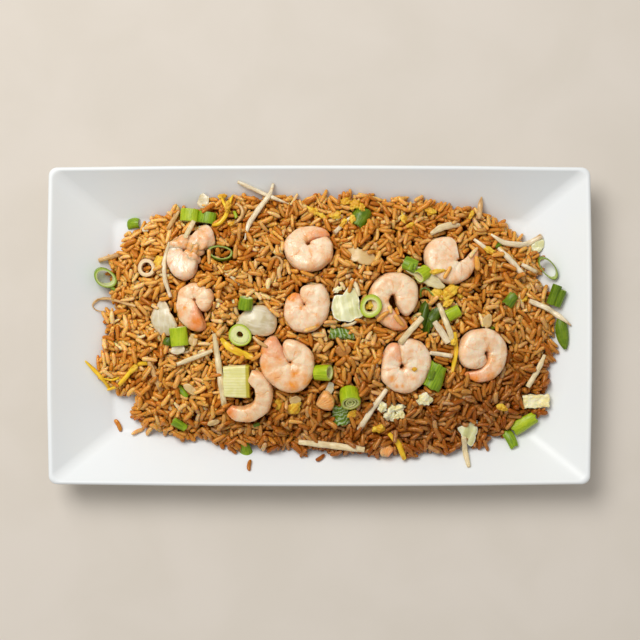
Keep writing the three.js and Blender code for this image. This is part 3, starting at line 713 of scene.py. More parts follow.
# %% The prawns' curls
# middle is where the curl's middle lies, in millimetres. Each station from head to tail is a direction seen
# from there, in degrees, the distance of the body's outer edge, and that of its inner edge where it isn't
# inner. tint is how orange the flesh is. A lobe is a loose muscle: its place from the middle, length,
# width, height and direction. A spot is an orange stain: its place from the middle, its size in millimetres
# and its strength.
PRAWNS = {
    "prawn_1": dict(
        middle=(-75.4, 41.6), tint=0.05, inner=0.4,
        stations=[(318, 10.5, 4), (304, 13, 2), (288, 16.6, 0.8), (270, 17.1), (250, 15.4), (228, 13),
            (205, 11), (182, 9.2, 0.6), (160, 9.4, 0.8), (130, 10, 1.4), (108, 9.4, 2.4)],
        lobes=[(9.4, 6.4, 16, 13, 10, 66), (6.4, 1.4, 9, 8, 9, 30), (-2.6, 4.6, 12.6, 10, 9, 24),
            (4, -3.4, 9.4, 8, 9.4, -30)],
        spots=[(-3.6, 4.8, 6, 1.0), (4.6, 0.4, 6, 1.2), (10.6, 7.4, 9, 0.7), (12, -0.6, 2.6, 0.7),
            (-5, -13, 2, 0.5)]),
    "prawn_2": dict(
        middle=(-69, 14.4), tint=0.35, inner=0.4,
        stations=[(300, 8), (314, 9), (332, 9.8), (352, 10.2), (380, 10.9), (404, 10.7), (418, 9),
            (434, 9.7), (452, 9.9), (480, 10.1), (510, 10.8), (540, 10.7), (570, 12.4), (594, 14.8),
            (612, 16.8), (630, 17.9), (644, 18.2, 0.6), (653, 16.8, 1.6)],
        spots=[(1.6, -12, 3.4, 1.3), (-1, -16, 3.4, 1.1), (4.2, -9.4, 2.6, 0.9), (-7.4, 4, 4, 0.5),
            (-4.8, -4.6, 1.6, 1.1), (-9, -7, 3.6, 0.6)]),
    "prawn_3": dict(
        middle=(-6.4, 45.3), tint=0.28, inner=0.9,
        stations=[(26, 9.8), (17, 12.2), (4, 13.8), (-14, 15), (-34, 16.1), (-60, 16.2), (-90, 16.8),
            (-120, 15.9), (-150, 14.4), (-180, 13.8), (-210, 12), (-240, 10.7), (-270, 10.7),
            (-296, 11.5, 1.2), (-314, 13, 2.6), (-328, 14, 5.4), (-338, 13.8, 8.4)],
        spots=[(7, 6, 2.6, 0.8), (12, 6.6, 2.6, 1.2), (-1, 2.4, 2.4, 0.9), (1.5, 4.6, 2, 0.6),
            (11, -9.6, 3, 0.7), (0, -16, 3, 0.4), (-3, 9, 1.6, 0.3)]),
    "prawn_4": dict(
        middle=(-8.4, 12.1), tint=0.25, inner=0.3,
        stations=[(120, 4.6), (110, 7.6), (100, 10), (84, 10.8), (68, 11.8), (50, 15), (40, 15.4),
            (24, 14.9), (0, 14.4), (-30, 14.9), (-60, 16), (-90, 16.6), (-118, 15.6), (-150, 13.2),
            (-178, 10.9), (-206, 10.2), (-224, 9.6, 0.4), (-240, 7.6, 0.8), (-252, 5.2, 1.4)],
        spots=[(-7.2, 4.4, 3.6, 1.5), (-5, 5.6, 2.4, 1.1), (0, 2, 2, 0.8), (-1.6, -1.6, 2.2, 0.9),
            (3, 1, 1.6, 0.7), (7.6, -11.4, 1.8, 1.2), (-9.6, -2, 2.4, 0.5), (10, -9, 3, 0.3)]),
    "prawn_5": dict(
        middle=(-16.2, -20.1), tint=0.35, inner=0.3,
        stations=[(182, 4.2), (158, 4.7), (134, 6.4), (118, 10.6), (106, 13.4), (84, 13), (60, 12.6),
            (32, 13.5), (0, 13.9), (-28, 14.5), (-46, 16.2), (-62, 18), (-90, 17.7), (-120, 16.7),
            (-150, 16.8, 0.4), (-180, 17.3, 0.8), (-200, 17.9, 1.2), (-216, 19.2, 2.4), (-230, 19.3, 5),
            (-242, 17, 9)],
        spots=[(2.4, -6.4, 3.4, 1.0), (0.6, -13, 4, 1.2), (-6.6, 1.6, 2.6, 1.0), (-15, -3, 4.4, 0.9),
            (-16, 6, 4, 0.9), (-9, -8, 4.4, 0.7), (9.4, -10.4, 4.4, 1.0), (-2, -17, 4, 0.8),
            (-12, 13, 3.4, 0.6)]),
    "prawn_7": dict(
        middle=(40.5, 16), tint=0.3, inner=0.9,
        stations=[(-64, 9.6, 5.4), (-56, 12.8, 3), (-44, 14.3, 2), (-15, 14.5, 1.2), (0, 14.7), (16, 15.1),
            (32, 16), (46, 15.8), (62, 14.9), (90, 14), (120, 13.2), (150, 13.2), (180, 13.6, 1),
            (208, 14, 2), (234, 15, 3.4), (254, 17, 5), (270, 18.4, 6.6), (284, 19.4, 9), (298, 20.2, 13)],
        spots=[(-12, 3, 3.4, 0.6), (7, -18, 3.6, 1.3), (10, -16.6, 2.6, 1.2), (-5, -12, 3.6, 0.8),
            (-3, -2, 2.2, 0.8), (9, 11, 3, 0.2), (0.5, -3, 2, 0.6)]),
    "prawn_8": dict(
        middle=(77.5, 35.7), tint=0.22, inner=0.5,
        stations=[(92, 7, 0.8), (99, 12.4, 0.6), (106, 14.9), (120, 16.4), (138, 18.9), (152, 20.2),
            (176, 20.3), (196, 18.8), (212, 17.2), (228, 15), (250, 14.2), (270, 12.5), (294, 11),
            (320, 10.1), (345, 10.2), (363, 10.8, 0.6), (377, 12.4, 1.6), (389, 13.8, 4.2), (397, 13.8, 8)],
        spots=[(9.6, -1, 2.6, 1.4), (11.4, 5, 2.6, 1.2), (6, -8.6, 3, 1.0), (-5, 2, 2.4, 0.7),
            (-9, 1.6, 2, 0.6), (-3, -11, 3, 0.6), (3, 3.4, 1.8, 0.7)]),
    "prawn_9": dict(
        middle=(45.5, -22.3), tint=0.22, inner=1.1,
        stations=[(100, 13.6, 1.4), (90, 15, 1.2), (72, 16.9), (46, 18.1), (26, 17.7), (0, 17.2), (-20, 16),
            (-36, 15.6), (-60, 16.3), (-90, 15.5), (-120, 14), (-150, 13.7), (-178, 11.3, 1),
            (-206, 11.7, 1), (-230, 13.9), (-250, 14.9, 1.2), (-264, 13.6, 1.4)],
        spots=[(-6, -6.4, 1.8, 1.3), (-3.4, -10.6, 1.6, 1.0), (0, -10.4, 1.2, 1.0), (5.6, -6, 1.4, 0.8),
            (5, 9, 1.2, 0.7), (-1.4, 4, 1.8, 0.9), (-9.6, 8, 2.4, 0.4), (-1, -15, 2.6, 0.5)]),
    "prawn_10": dict(
        middle=(92.7, -15.1), tint=0.25, inner=0.9,
        stations=[(286, 4.8, 1), (268, 7), (250, 9.8), (231, 12), (212, 14.8), (196, 15.9), (165, 16.2),
            (135, 16), (105, 14.7), (75, 13.8), (45, 13.2), (15, 12.8), (-15, 12.9), (-44, 14, 1.2),
            (-66, 15.4, 2.8), (-86, 16.8, 5.6), (-106, 17.6, 8.8), (-124, 17.6, 12), (-136, 17.4, 14.6)],
        spots=[(-7, -15, 3.4, 1.4), (-11, -12.6, 3, 1.4), (2, -13, 4, 0.9), (7, -8, 4, 0.5),
            (0, 3, 2.4, 0.8), (2.4, -3, 2, 1.0), (9, 3, 3, 0.3)]),
    "prawn_6": dict(
        middle=(-42.3, -38.4), tint=0.4, inner=9,
        stations=[(72, 15.4), (60, 16.4, 8), (30, 16.6, 7), (0, 16.6, 6.6), (-45, 16.5, 6.8),
            (-80, 16.4, 7), (-110, 16, 7.6), (-135, 14.6)],
        spots=[(-8, -11, 3.4, 1.2), (15, -3, 2.4, 0.4), (3, -14, 3, 0.5)]),
    "prawn_tail_end": dict(
        middle=(-2.6, -44.4), tint=0.9, inner=1.4,
        stations=[(60, 10, 1.8), (48, 11.4), (20, 11.6), (0, 11, 2), (-16, 9.6, 3.6)],
        spots=[(7, 3, 5, 0.9)]),
    "prawn_piece_at_edge": dict(
        middle=(36, -77), tint=0.7, inner=3.4,
        stations=[(110, 9.6, 4), (100, 10.4), (70, 10.6), (48, 9.8, 4.2)],
        spots=[(3, 7, 4, 1.0)]),
}
PRAWN_SIDES = 20
PRAWN_SEGMENTS = 6
SEGMENTS_START, SEGMENTS_RUN = 0.04, 0.9  # where the segments begin and how long they are, of the body
PRAWN_HEIGHT, PRAWN_FLATNESS = 10.5, 0.86  # a body is as high as this share of its width, up to the height
# Where the stations of one segment lie, as shares of it, and how full the body is there.
SEGMENT_SWELL = ((0.0, 0.955), (0.16, 1.0), (0.5, 1.01), (0.86, 0.995))
# How square the body's section is on the inner and on the outer side of the curl. 2 is a circle.
INNER_FULLNESS, OUTER_FULLNESS = 3.8, 3.0
EDGE_SHARE = 0.999  # the flesh reaches this share of the way to its edges


def prawn_rings():
    """Shares of the body from head to tail, and how full the body is at each."""
    rings = [(0.0, 0.6), (0.006, 0.87), (0.022, 0.985)]
    for segment in range(PRAWN_SEGMENTS):
        for part, swell in SEGMENT_SWELL:
            rings.append((SEGMENTS_START + SEGMENTS_RUN * (segment + part) / PRAWN_SEGMENTS, swell))
    return rings + [(0.95, 0.98), (0.98, 0.94), (0.994, 0.8), (1.0, 0.5)]


RINGS = np.array(prawn_rings())

# %% A straight body, curled in one step


def straight_body():
    """A cylinder along Z with one ring of vertices for each station."""
    body = begin(bpy.ops.mesh.primitive_cylinder_add, vertices=PRAWN_SIDES, radius=1 * MM, depth=1 * MM,
                 end_fill_type="NGON")
    edit()
    pick("edges", lambda middle: abs(middle.z) < 0.1 * MM)
    bpy.ops.mesh.subdivide(number_cuts=len(RINGS) - 2)
    leave_edit()
    return body


def squarish(angle, fullness):
    """A cosine whose curve is squarer the larger the fullness."""
    return np.sign(np.cos(angle)) * abs(np.cos(angle)) ** (2 / fullness)


def curl_up(body, stations, inner):
    """Curls the straight body round the origin. Each vertex keeps its place along and across the body."""
    directions, outer, inner = np.array([(*station, inner)[:3] for station in stations], float).T
    passed = np.concatenate([[0], np.cumsum(abs(np.diff(directions)))])
    passed /= passed[-1]
    points = points_of(body)
    ring = np.rint((points[:, 2] + 0.5) * (len(RINGS) - 1)).astype(int)
    share, swell = RINGS[ring].T
    side = np.arctan2(points[:, 1], points[:, 0])
    fullness = np.where(np.cos(side) < 0, INNER_FULLNESS, OUTER_FULLNESS)
    across = squarish(side, fullness) * EDGE_SHARE
    up = squarish(side - math.pi / 2, fullness)
    near, far = np.interp(share, passed, inner), np.interp(share, passed, outer)
    direction = np.radians(np.interp(share, passed, directions))
    half = (far - near) / 2
    tall = np.minimum(PRAWN_HEIGHT, 2 * half * PRAWN_FLATNESS) / 2
    reach = (near + far) / 2 + half * across * (0.35 + 0.65 * swell)
    x, y = reach * np.cos(direction), reach * np.sin(direction)
    set_points(body, np.column_stack([x, y, tall * up * swell]))
    store(body, "share", share)
    store(body, "back", across)


def stain(body, spots):
    """Keeps how near each vertex is to the orange spots."""
    x, y, z = points_of(body).T
    stained = np.zeros(len(x))
    for spot_x, spot_y, size, strength in spots:
        stained = np.maximum(stained, strength * np.exp(-((x - spot_x) ** 2 + (y - spot_y) ** 2) / size**2))
    store(body, "stain", stained)


# %% [markdown]
# Cooked prawn flesh is milky and a little see-through, white to peach, in soft bands from the middle of the
# curl to its back. Orange-pink blotches gather at the creases and along the back, and the tail end is
# orange. The wet surface shines.

# %% Prawn flesh
def prawn_finish(name, tint):
    """tint is how orange this prawn is, from 0 to 1."""
    flesh = Finish(name, own_place=True, Roughness=0.32, Subsurface_Weight=0.6, Subsurface_Scale=2.4 * MM,
                   Subsurface_Radius=(1.0, 0.6, 0.4), Coat_Weight=0.3, Coat_Roughness=0.12,
                   Specular_IOR_Level=0.35)
    share, back = flesh.attribute("share"), flesh.attribute("back")
    wobble = flesh.patches(4.0, 0.2, 0.8)
    segment = flesh.times(flesh.math("SUBTRACT", share, SEGMENTS_START), PRAWN_SEGMENTS / SEGMENTS_RUN)
    to_crease = flesh.math("PINGPONG", flesh.plus(segment, flesh.times(wobble, 0.5)), 0.5)
    crease = flesh.times(flesh.between(to_crease, 0.12, 0.0), wobble)
    clouds = flesh.patches(5.0, 0.36, 0.7)
    blotches = flesh.patches(2.6)
    pink = (241 - 8 * tint, 206 - 30 * tint, 172 - 60 * tint)
    milky = flesh.mix(clouds, (246 - 10 * tint, 234 - 44 * tint, 216 - 90 * tint), pink)
    on_back = flesh.between(back, 0.5, 1.1)
    inside = flesh.times(flesh.between(back, -0.72, -1.0), 0.55)
    orange = flesh.times(on_back, 0.2 + 0.4 * tint)
    orange = flesh.math("MAXIMUM", orange, flesh.times(crease, 0.6))
    stained = flesh.plus(0.5, flesh.times(blotches, 0.6))
    stained = flesh.times(flesh.attribute("stain"), stained)
    orange = flesh.math("MAXIMUM", orange, flesh.math("MAXIMUM", inside, stained))
    body = flesh.mix(orange, milky, (236, 152, 48))
    tail = flesh.between(flesh.plus(share, flesh.times(wobble, 0.1)), 0.86, 1.04)
    flesh.colour(flesh.mix(flesh.times(tail, 0.3 + 0.5 * tint), body, (226, 118, 54)))
    flesh.roughness(flesh.patches(1.5), 0.2, 0.34)
    muscle = flesh.patches(2.2, 0.2, 0.8)
    flesh.relief(flesh.math("SUBTRACT", muscle, crease), 0.2)
    return flesh.material


# %% Making the prawns
muscle_lumps = bpy.data.textures.new("muscle_lumps", "CLOUDS")
muscle_lumps.noise_scale = 5 * MM
muscle_lumps.noise_depth = 1


def lay_over(piece, node, middle, rise=0):
    """Tips the piece to the heap's slope, its own middle over this place, as high as its node or higher."""
    piece.rotation_euler = tip_at(*middle).to_euler()
    apply_place(piece)
    low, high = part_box(node)
    points = points_of(piece)
    up = (low[2] + high[2]) / 2 / MM - (points[:, 2].min() + points[:, 2].max()) / 2 + rise
    piece.location = Vector((*middle, up)) * MM
    apply_place(piece)


def add_lobe(x, y, long, wide, tall, yaw):
    """A thick muscle that lies loose beside the curl: a ball drawn out, turned and pushed into place."""
    lobe = begin(bpy.ops.mesh.primitive_uv_sphere_add, segments=24, ring_count=16, radius=0.5 * MM)
    points = points_of(lobe)
    folds = [noise.noise(Vector(point) * 2.4 + Vector((x, y, 0))) for point in points]
    set_points(lobe, points * (long, wide, tall) * (1 + 0.5 * np.array(folds))[:, None])
    lobe.rotation_euler = (0, 0, math.radians(yaw))
    lobe.location = Vector((x, y, 0.6)) * MM
    apply_place(lobe)
    store(lobe, "share", np.full(len(lobe.data.vertices), 0.5))
    store(lobe, "back", np.zeros(len(lobe.data.vertices)))
    return lobe


for node, curl in PRAWNS.items():
    prawn = straight_body()
    curl_up(prawn, curl["stations"], curl["inner"])
    subdivide_surface(prawn, 2)
    lobes = [add_lobe(*lobe) for lobe in curl.get("lobes", [])]
    for lobe in lobes:
        subdivide_surface(lobe, 1)
    join([prawn] + lobes)
    stain(prawn, curl["spots"])
    apply_modifier(prawn, "DISPLACE", texture=muscle_lumps, strength=0.9 * MM, mid_level=0.5)
    remember_place(prawn)
    lay_over(prawn, node, curl["middle"])
    finish(prawn, node + "_curled", "prawn", prawn_finish(node + "_flesh", curl["tint"]), node)
    TOPPINGS.append(prawn)
print("prawns:", len(PRAWNS), "of", len(prawn.data.polygons), "faces each")

# %% [markdown]
# ## Spring onion rings and tubes
# A spring onion is a hollow green tube. The knife cuts it into short rings, and into longer tubes that roll
# on their sides and flatten. Each starts as an open cylinder, is cut along its length, gets the thickness
# of its wall and rounded rims, and is then squashed and made a little uneven. While it is still round, each
# vertex keeps how deep in the wall it lies, because the wall is dark green outside and nearly white within.
# Some rings hold a second, paler ring, and two tubes lie side by side: those are extra tubes, joined to the
# first.

# %% Tubes
# across is the outer diameter, squash its flattening, lean the tilt of its axis from upright, yaw where it
# leans. rise lifts the piece, in millimetres. An extra tube is shifted, in millimetres, and pale, from 0 to
# 1, says how far its colour is shifted from the skin's to the flesh's.
ONION_TUBES = {
    "spring_onion_ring_at_left": dict(
        across=13.6, squash=0.74, long=5.6, wall=1.9, lean=28, yaw=-40, tone="green"),
    "spring_onion_pair_a": dict(across=10.8, squash=0.62, long=7.2, wall=1.0, lean=84, yaw=84, tone="lime"),
    "spring_onion_pair_b": dict(across=10.8, squash=0.56, long=6.4, wall=1.0, lean=80, yaw=80, tone="green"),
    "spring_onion_loop": dict(
        across=14.6, squash=0.58, long=3.4, wall=1.5, lean=10, yaw=-4, rise=0.6, tone="deep"),
    "onion_root_ring": dict(across=11, squash=0.95, long=3.4, wall=2.4, lean=12, yaw=-20, tone="root"),
    "spring_onion_tube_lime": dict(
        across=10.2, squash=0.74, long=10.6, wall=1.2, lean=86, yaw=96, tone="lime"),
    "spring_onion_ring_lime": dict(
        across=12.8, squash=0.94, long=4.2, wall=1.9, lean=10, yaw=-60, tone="lime",
        extras=[dict(across=10, squash=0.9, long=4.6, wall=3.2, shift=(-0.3, 0.2, 0.1), pale=0.8)]),
    "spring_onion_ring_middle": dict(
        across=12.6, squash=0.94, long=4.6, wall=2.7, lean=12, yaw=-130, rise=3, tone="lime"),
    "spring_onion_tube_a": dict(across=8, squash=0.78, long=7.4, wall=1.1, lean=82, yaw=-25, tone="green"),
    "spring_onion_tube_b": dict(across=8, squash=0.82, long=7.8, wall=1.1, lean=62, yaw=215, tone="lime"),
    "spring_onion_tube_c": dict(across=6.8, squash=0.85, long=7.6, wall=1.2, lean=84, yaw=28, tone="lime"),
    "spring_onion_loop_at_right": dict(
        across=16.4, squash=0.45, long=4, wall=1.4, lean=18, yaw=-52, tone="deep"),
    "spring_onion_tube_at_right": dict(
        across=5.4, squash=0.8, long=11.4, wall=1, lean=80, yaw=70, tone="deep",
        extras=[dict(across=4.4, squash=0.9, long=10, wall=1, shift=(-1, -3.8, 0.4), pale=0)]),
    "spring_onion_tube_d": dict(across=8.8, squash=0.9, long=9, wall=1.5, lean=62, yaw=2, tone="lime"),
    "spring_onion_ring_thick": dict(
        across=12.8, squash=0.9, long=8, wall=2, lean=38, yaw=-82, tone="lime",
        extras=[dict(across=8.2, squash=0.8, long=7.4, wall=1.3, shift=(0, 0.2, 0.2), pale=0.5),
                dict(across=4.6, squash=0.8, long=6.8, wall=1.1, shift=(0.2, 0, 0), pale=0.4)]),
    "spring_onion_stub": dict(
        across=8, squash=0.85, long=7, wall=1.1, lean=70, yaw=80, rise=1.5, tone="green"),
}
TUBE_SIDES = 28
LYING = 45  # a tube that leans more than this lies on its side


def cut_tube(across, squash, long, wall, lying, seed, pale=0.0):
    """A tube with its axis along Z. Lying tubes are flattened across X, which will point up."""
    tube = begin(bpy.ops.mesh.primitive_cylinder_add, vertices=TUBE_SIDES, radius=across / 2 * MM,
                 depth=long * MM, end_fill_type="NOTHING")
    edit()
    pick("edges", lambda middle: abs(middle.z) < 0.01 * MM)
    bpy.ops.mesh.subdivide(number_cuts=max(1, round(long / 2.5)))
    leave_edit()
    apply_modifier(tube, "SOLIDIFY", thickness=wall * MM, offset=-1)
    round_edges(tube, min(0.35, wall / 3))
    subdivide_surface(tube, 1)
    points = points_of(tube)
    distance = np.hypot(points[:, 0], points[:, 1])
    store(tube, "depth", pale + (1 - pale) * np.clip((across / 2 - distance) / wall, 0, 1))

    def squashed(points):
        x, y, z = points.T
        angle = np.arctan2(y, x)
        swell = 1 + 0.035 * np.sin(2 * angle + seed) + 0.02 * np.sin(3 * angle + 2 * seed)
        swell = swell + 0.03 * np.sin(z / long * 3 + seed)
        slant = 0.06 * long / across * x * np.sign(z) * math.sin(seed * 3)
        flat_x, flat_y = (squash, 1) if lying else (1, squash)
        return np.column_stack([x * swell * flat_x, y * swell * flat_y, z + slant])

    reshape(tube, squashed)
    points = points_of(tube)
    store(tube, "own_place", np.column_stack([points[:, 2], points[:, 0], points[:, 1]]) + 37 * seed)
    return tube


# %% [markdown]
# The skin of a leaf is fresh green with fine lines along it. Towards the root it turns lime and then white.
# A cut shows the wall in layers: green at the rim, then juicy pale bands. The inside is pale and wet.

# %% Spring onion finishes
ONION_TONES = {
    "green": ((106, 138, 6), (148, 176, 26), (214, 222, 160)),
    "deep": ((80, 110, 4), (120, 144, 20), (176, 190, 104)),
    "dark": ((62, 86, 2), (92, 112, 10), (124, 150, 62)),
    "lime": ((148, 172, 4), (182, 198, 34), (226, 228, 160)),
    "root": ((206, 168, 116), (226, 196, 148), (238, 216, 176)),
}
LAYERS_IN_WALL = 3.0


def onion_finish(name, tone, highlight_stripes=False):
    """A leaf's finish. If asked, pale stripes run slantwise over it: painted highlights along the edges of
    its cut layers.
    """
    skin, light, inner = ONION_TONES[tone]
    leaf = Finish(name, own_place=True, Subsurface_Weight=0.25, Subsurface_Scale=1.0 * MM,
                  Subsurface_Radius=(0.6, 1.0, 0.25), Coat_Weight=0.14, Coat_Roughness=0.2,
                  Specular_IOR_Level=0.3)
    depth = leaf.attribute("depth")
    lines = leaf.between(leaf.group("fibres", width=0.7), 0.4, 0.62)
    outside = leaf.mix(leaf.times(lines, 0.7), skin, light)
    outside = leaf.mix(leaf.patches(5.0, 0.45, 0.75), outside, light)
    # Painted highlights: pale slanted stripes stand for light caught along the edges of cut leaf layers.
    if highlight_stripes:
        along = leaf.split(leaf.place)
        slant = leaf.plus(along["X"], leaf.times(along["Y"], 0.4))
        slant = leaf.plus(slant, leaf.times(leaf.patches(3.0, 0.4, 0.6), 1.2))
        highlight_striped = leaf.between(leaf.math("PINGPONG", leaf.times(slant, 0.4), 0.5), 0.2, 0.5)
        outside = leaf.mix(leaf.times(highlight_striped, 0.7), outside, (196, 214, 176))
    layers = leaf.math("PINGPONG", leaf.times(depth, LAYERS_IN_WALL), 0.5)
    wall = leaf.mix(leaf.between(depth, 0.3, 1.0), light, inner)
    wall = leaf.mix(leaf.times(layers, 0.7), wall, inner)
    leaf.colour(leaf.mix(leaf.between(depth, 0.04, 0.4), outside, wall))
    leaf.roughness(leaf.patches(1.2), 0.26, 0.44)
    leaf.relief(leaf.plus(leaf.times(lines, 0.7), layers), 0.12)
    return leaf.material


ONION_FINISHES = {tone: onion_finish("spring_onion_" + tone, tone) for tone in ONION_TONES}
# A deep green finish with painted highlight stripes.
ONION_FINISHES["highlight_striped"] = onion_finish("spring_onion_highlight_striped", "deep", highlight_stripes=True)

for number, (node, cut) in enumerate(ONION_TUBES.items()):
    lying = cut["lean"] > LYING
    tube = cut_tube(cut["across"], cut["squash"], cut["long"], cut["wall"], lying, number)
    extras = []
    for extra in cut.get("extras", []):
        other = cut_tube(extra["across"], extra["squash"], extra["long"], extra["wall"], lying, number + 0.5,
                         extra["pale"])
        along, side, out = extra["shift"]
        other.location = Vector((out, side, along) if lying else (along, side, out)) * MM
        apply_place(other)
        extras.append(other)
    tube = join([tube] + extras)
    lie_like(tube, node, cut["yaw"], cut["lean"])
    tube.location.z += cut.get("rise", 0) * MM
    finish(tube, node + "_cut", "spring_onion", ONION_FINISHES[cut["tone"]], node)
    TOPPINGS.append(tube)
print("spring onion tubes:", len(ONION_TUBES))

# %% [markdown]
# ## Slit leaves
# Where a tube is slit or torn, a gutter-shaped strip of leaf is left. It is a cylinder with most of its
# round deleted. arc is how much of the round is left, and roll how far it has rolled to one side. point,
# from 0 to 1, says how much narrower the ends are than the middle.

# %% Strips
ONION_STRIPS = {
    "spring_onion_leaf_top": dict(across=11.4, arc=150, long=11, thick=1.1, yaw=62, rise=1.6, tone="deep"),
    "spring_onion_leaf_middle": dict(across=7.6, arc=116, long=14, thick=1, yaw=-4, tone="highlight_striped"),
    "spring_onion_leaf_b": dict(across=7.6, arc=110, long=9, thick=0.9, yaw=60, tone="dark"),
    "spring_onion_leaf_at_right": dict(
        across=9, arc=120, long=18.6, thick=1, yaw=-79, point=0.75, tone="deep"),
    "spring_onion_leaf_low": dict(
        across=12.8, arc=140, long=12, thick=1.2, yaw=92, roll=20, rise=1.4, tone="highlight_striped"),
    "spring_onion_leaf_large": dict(
        across=12, arc=230, long=14, thick=1.2, yaw=62, roll=-50, rise=0.8, tone="green"),
    "spring_onion_leaf_at_corner": dict(
        across=9.6, arc=130, long=14.4, thick=1.1, yaw=32, roll=-12, tone="lime"),
    "spring_onion_leaf_under_corner": dict(across=8, arc=110, long=10.6, thick=1, yaw=-62, tone="green"),
}
STRIP_SIDES = 48


def slit_leaf(across, arc, long, thick, seed, point=0):
    """A gutter along X with its back up, narrower at its ends if it has a point."""
    leaf = begin(bpy.ops.mesh.primitive_cylinder_add, vertices=STRIP_SIDES, radius=across / 2 * MM,
                 depth=long * MM, end_fill_type="NOTHING", rotation=(0, math.radians(90), 0))
    apply_place(leaf)
    edit()
    keep = math.radians(arc / 2)
    pick("faces", lambda middle: abs(math.atan2(middle.y, middle.z)) > keep)
    bpy.ops.mesh.delete(type="FACE")
    pick("edges", lambda middle: abs(middle.x) < 0.01 * MM)
    bpy.ops.mesh.subdivide(number_cuts=max(2, round(long / 2)))
    leave_edit()
    apply_modifier(leaf, "SOLIDIFY", thickness=thick * MM, offset=-1)
    round_edges(leaf, thick / 3)
    subdivide_surface(leaf, 1)
    points = points_of(leaf)
    distance = np.hypot(points[:, 1], points[:, 2])
    store(leaf, "depth", 0.9 * np.clip((across / 2 - distance) / thick, 0, 1) ** 2)

    def torn(points):
        x, y, z = points.T
        ends = abs(2 * x / long) ** 4
        ragged = noise_over(y / 1.6, z / 1.6, seed)
        warp = 0.06 * across * np.sin(x / long * 4 + seed)
        narrow = 1 - 0.16 * (x / long + 0.5) ** 2
        tip = 1 - point * abs(2 * x / long) ** 2.5
        low = z.min()
        return np.column_stack([x * (1 + 0.12 * ends * ragged), y * narrow * tip + warp * 0.6,
                                low + (z - low) * tip + warp])

    reshape(leaf, torn)
    store(leaf, "own_place", points_of(leaf) + 41 * seed)
    return leaf


for number, (node, cut) in enumerate(ONION_STRIPS.items()):
    leaf = slit_leaf(cut["across"], cut["arc"], cut["long"], cut["thick"], number + 1, cut.get("point", 0))
    lie_like(leaf, node, cut["yaw"], roll=cut.get("roll", 0))
    leaf.location.z += cut.get("rise", 0) * MM
    finish(leaf, node + "_slit", "spring_onion", ONION_FINISHES[cut["tone"]], node)
    TOPPINGS.append(leaf)
print("slit leaves:", len(ONION_STRIPS))

# %% [markdown]
# ## Onion, cabbage and torn leaf
# An onion wedge falls apart into shells, and fried cabbage and torn leaves lie as limp patches with corners
# of their own. Each is a curved patch: a grid whose square rings are pushed out to the patch's outline and
# domed, given its thickness, and rounded at the rim.

# %% Patches
# middle is in millimetres. The outline is directions from there, in degrees, and distances. veins is the
# direction in which its lines run, dome how much higher its middle is, crease how deep it is folded along
# its veins, and ripples how uneven it is.
PATCHES = {
    "onion_wedge": dict(
        kind="onion", middle=(-86.9, 4.1), rise=0.4, dome=3.6, thick=1.8, veins=100, crease=0.1, ripples=0.25,
        outline=[(0, 6.4), (30, 5.4), (45, 5.6), (60, 6.6), (80, 8.8), (98, 11), (110, 9.4), (120, 8),
            (150, 6.8), (180, 7), (210, 7), (240, 7.6), (262, 9.2), (285, 9.8), (300, 10), (320, 9.4),
            (337, 8.6), (350, 7)]),
    "onion_petal": dict(
        kind="onion", middle=(-35.3, 3), rise=0, dome=5, thick=1.8, veins=-12, crease=0, ripples=0.2,
        outline=[(0, 11.1), (13, 11.1), (27, 10.7), (41, 10), (55, 9.2), (90, 7.8), (112, 7.4), (142, 7.6),
            (166, 9), (180, 10.5), (195, 11.3), (215, 9.6), (237, 7.7), (270, 8.5), (287, 9.1), (309, 10.6),
            (329, 11.7), (345, 11.5)]),
    "onion_slice": dict(
        kind="fried", middle=(23.6, 38.3), rise=0, dome=2.4, thick=1.5, veins=-20, crease=0, ripples=0.25,
        outline=[(7, 6.8), (50, 4.2), (90, 3.8), (110, 4), (123, 7.4), (148, 9.1), (178, 7.7), (210, 5.8),
            (231, 3.7), (286, 4.9), (326, 7.1), (344, 8.5)]),
    "onion_strip": dict(
        kind="stem", middle=(59, 27.4), rise=0, dome=1.4, thick=1.4, veins=-30, crease=0.4, ripples=0.7,
        outline=[(0, 5.4), (30, 4), (60, 3.8), (90, 4.2), (120, 5.4), (140, 9), (148, 14), (154, 15),
            (162, 12), (180, 6), (210, 4.2), (240, 3.8), (270, 4.2), (300, 6.4), (316, 10), (326, 12),
            (334, 12.2), (344, 9)]),
    "cabbage_leaf": dict(
        kind="cabbage", middle=(15.7, 10.3), rise=0, dome=1.4, thick=1.3, veins=100, crease=0.12, ripples=0.7,
        outline=[(17, 6.7), (43, 8.2), (61, 10.5), (74, 11.9), (86, 11.7), (98, 8.8), (114, 7.1),
            (125, 8.2), (134, 9.3), (141, 9.5), (161, 9), (197, 8.9), (216, 9.7), (233, 9.2), (257, 8.2),
            (282, 8.4), (303, 8), (322, 9.4), (330, 9.8), (338, 9.2), (349, 6.5)]),
    "cabbage_tip": dict(
        kind="cabbage", middle=(84.1, -61), rise=1.4, dome=1, thick=1.2, veins=70, crease=0.3, ripples=0.5,
        outline=[(40, 5.9), (55, 8.9), (77, 8.3), (81, 6.1), (116, 5.2), (152, 7.4), (180, 4.5), (248, 3.8),
            (277, 7.2), (286, 7.4), (297, 6.4), (342, 3.8)]),
    "spring_onion_leaf_a": dict(
        kind="dark", middle=(60.6, 4.8), rise=0, dome=2, thick=0.9, veins=75, crease=1.2, ripples=0.7,
        outline=[(22, 6.7), (45, 6.8), (59, 5), (68, 2.6), (90, 4), (98, 9.2), (112, 8), (138, 6.4),
            (172, 5.1), (216, 5.8), (253, 9.7), (262, 10.7), (272, 8.8), (278, 5.8), (316, 5.4),
            (354, 6.2)]),
}
PATCH_CUTS = 26


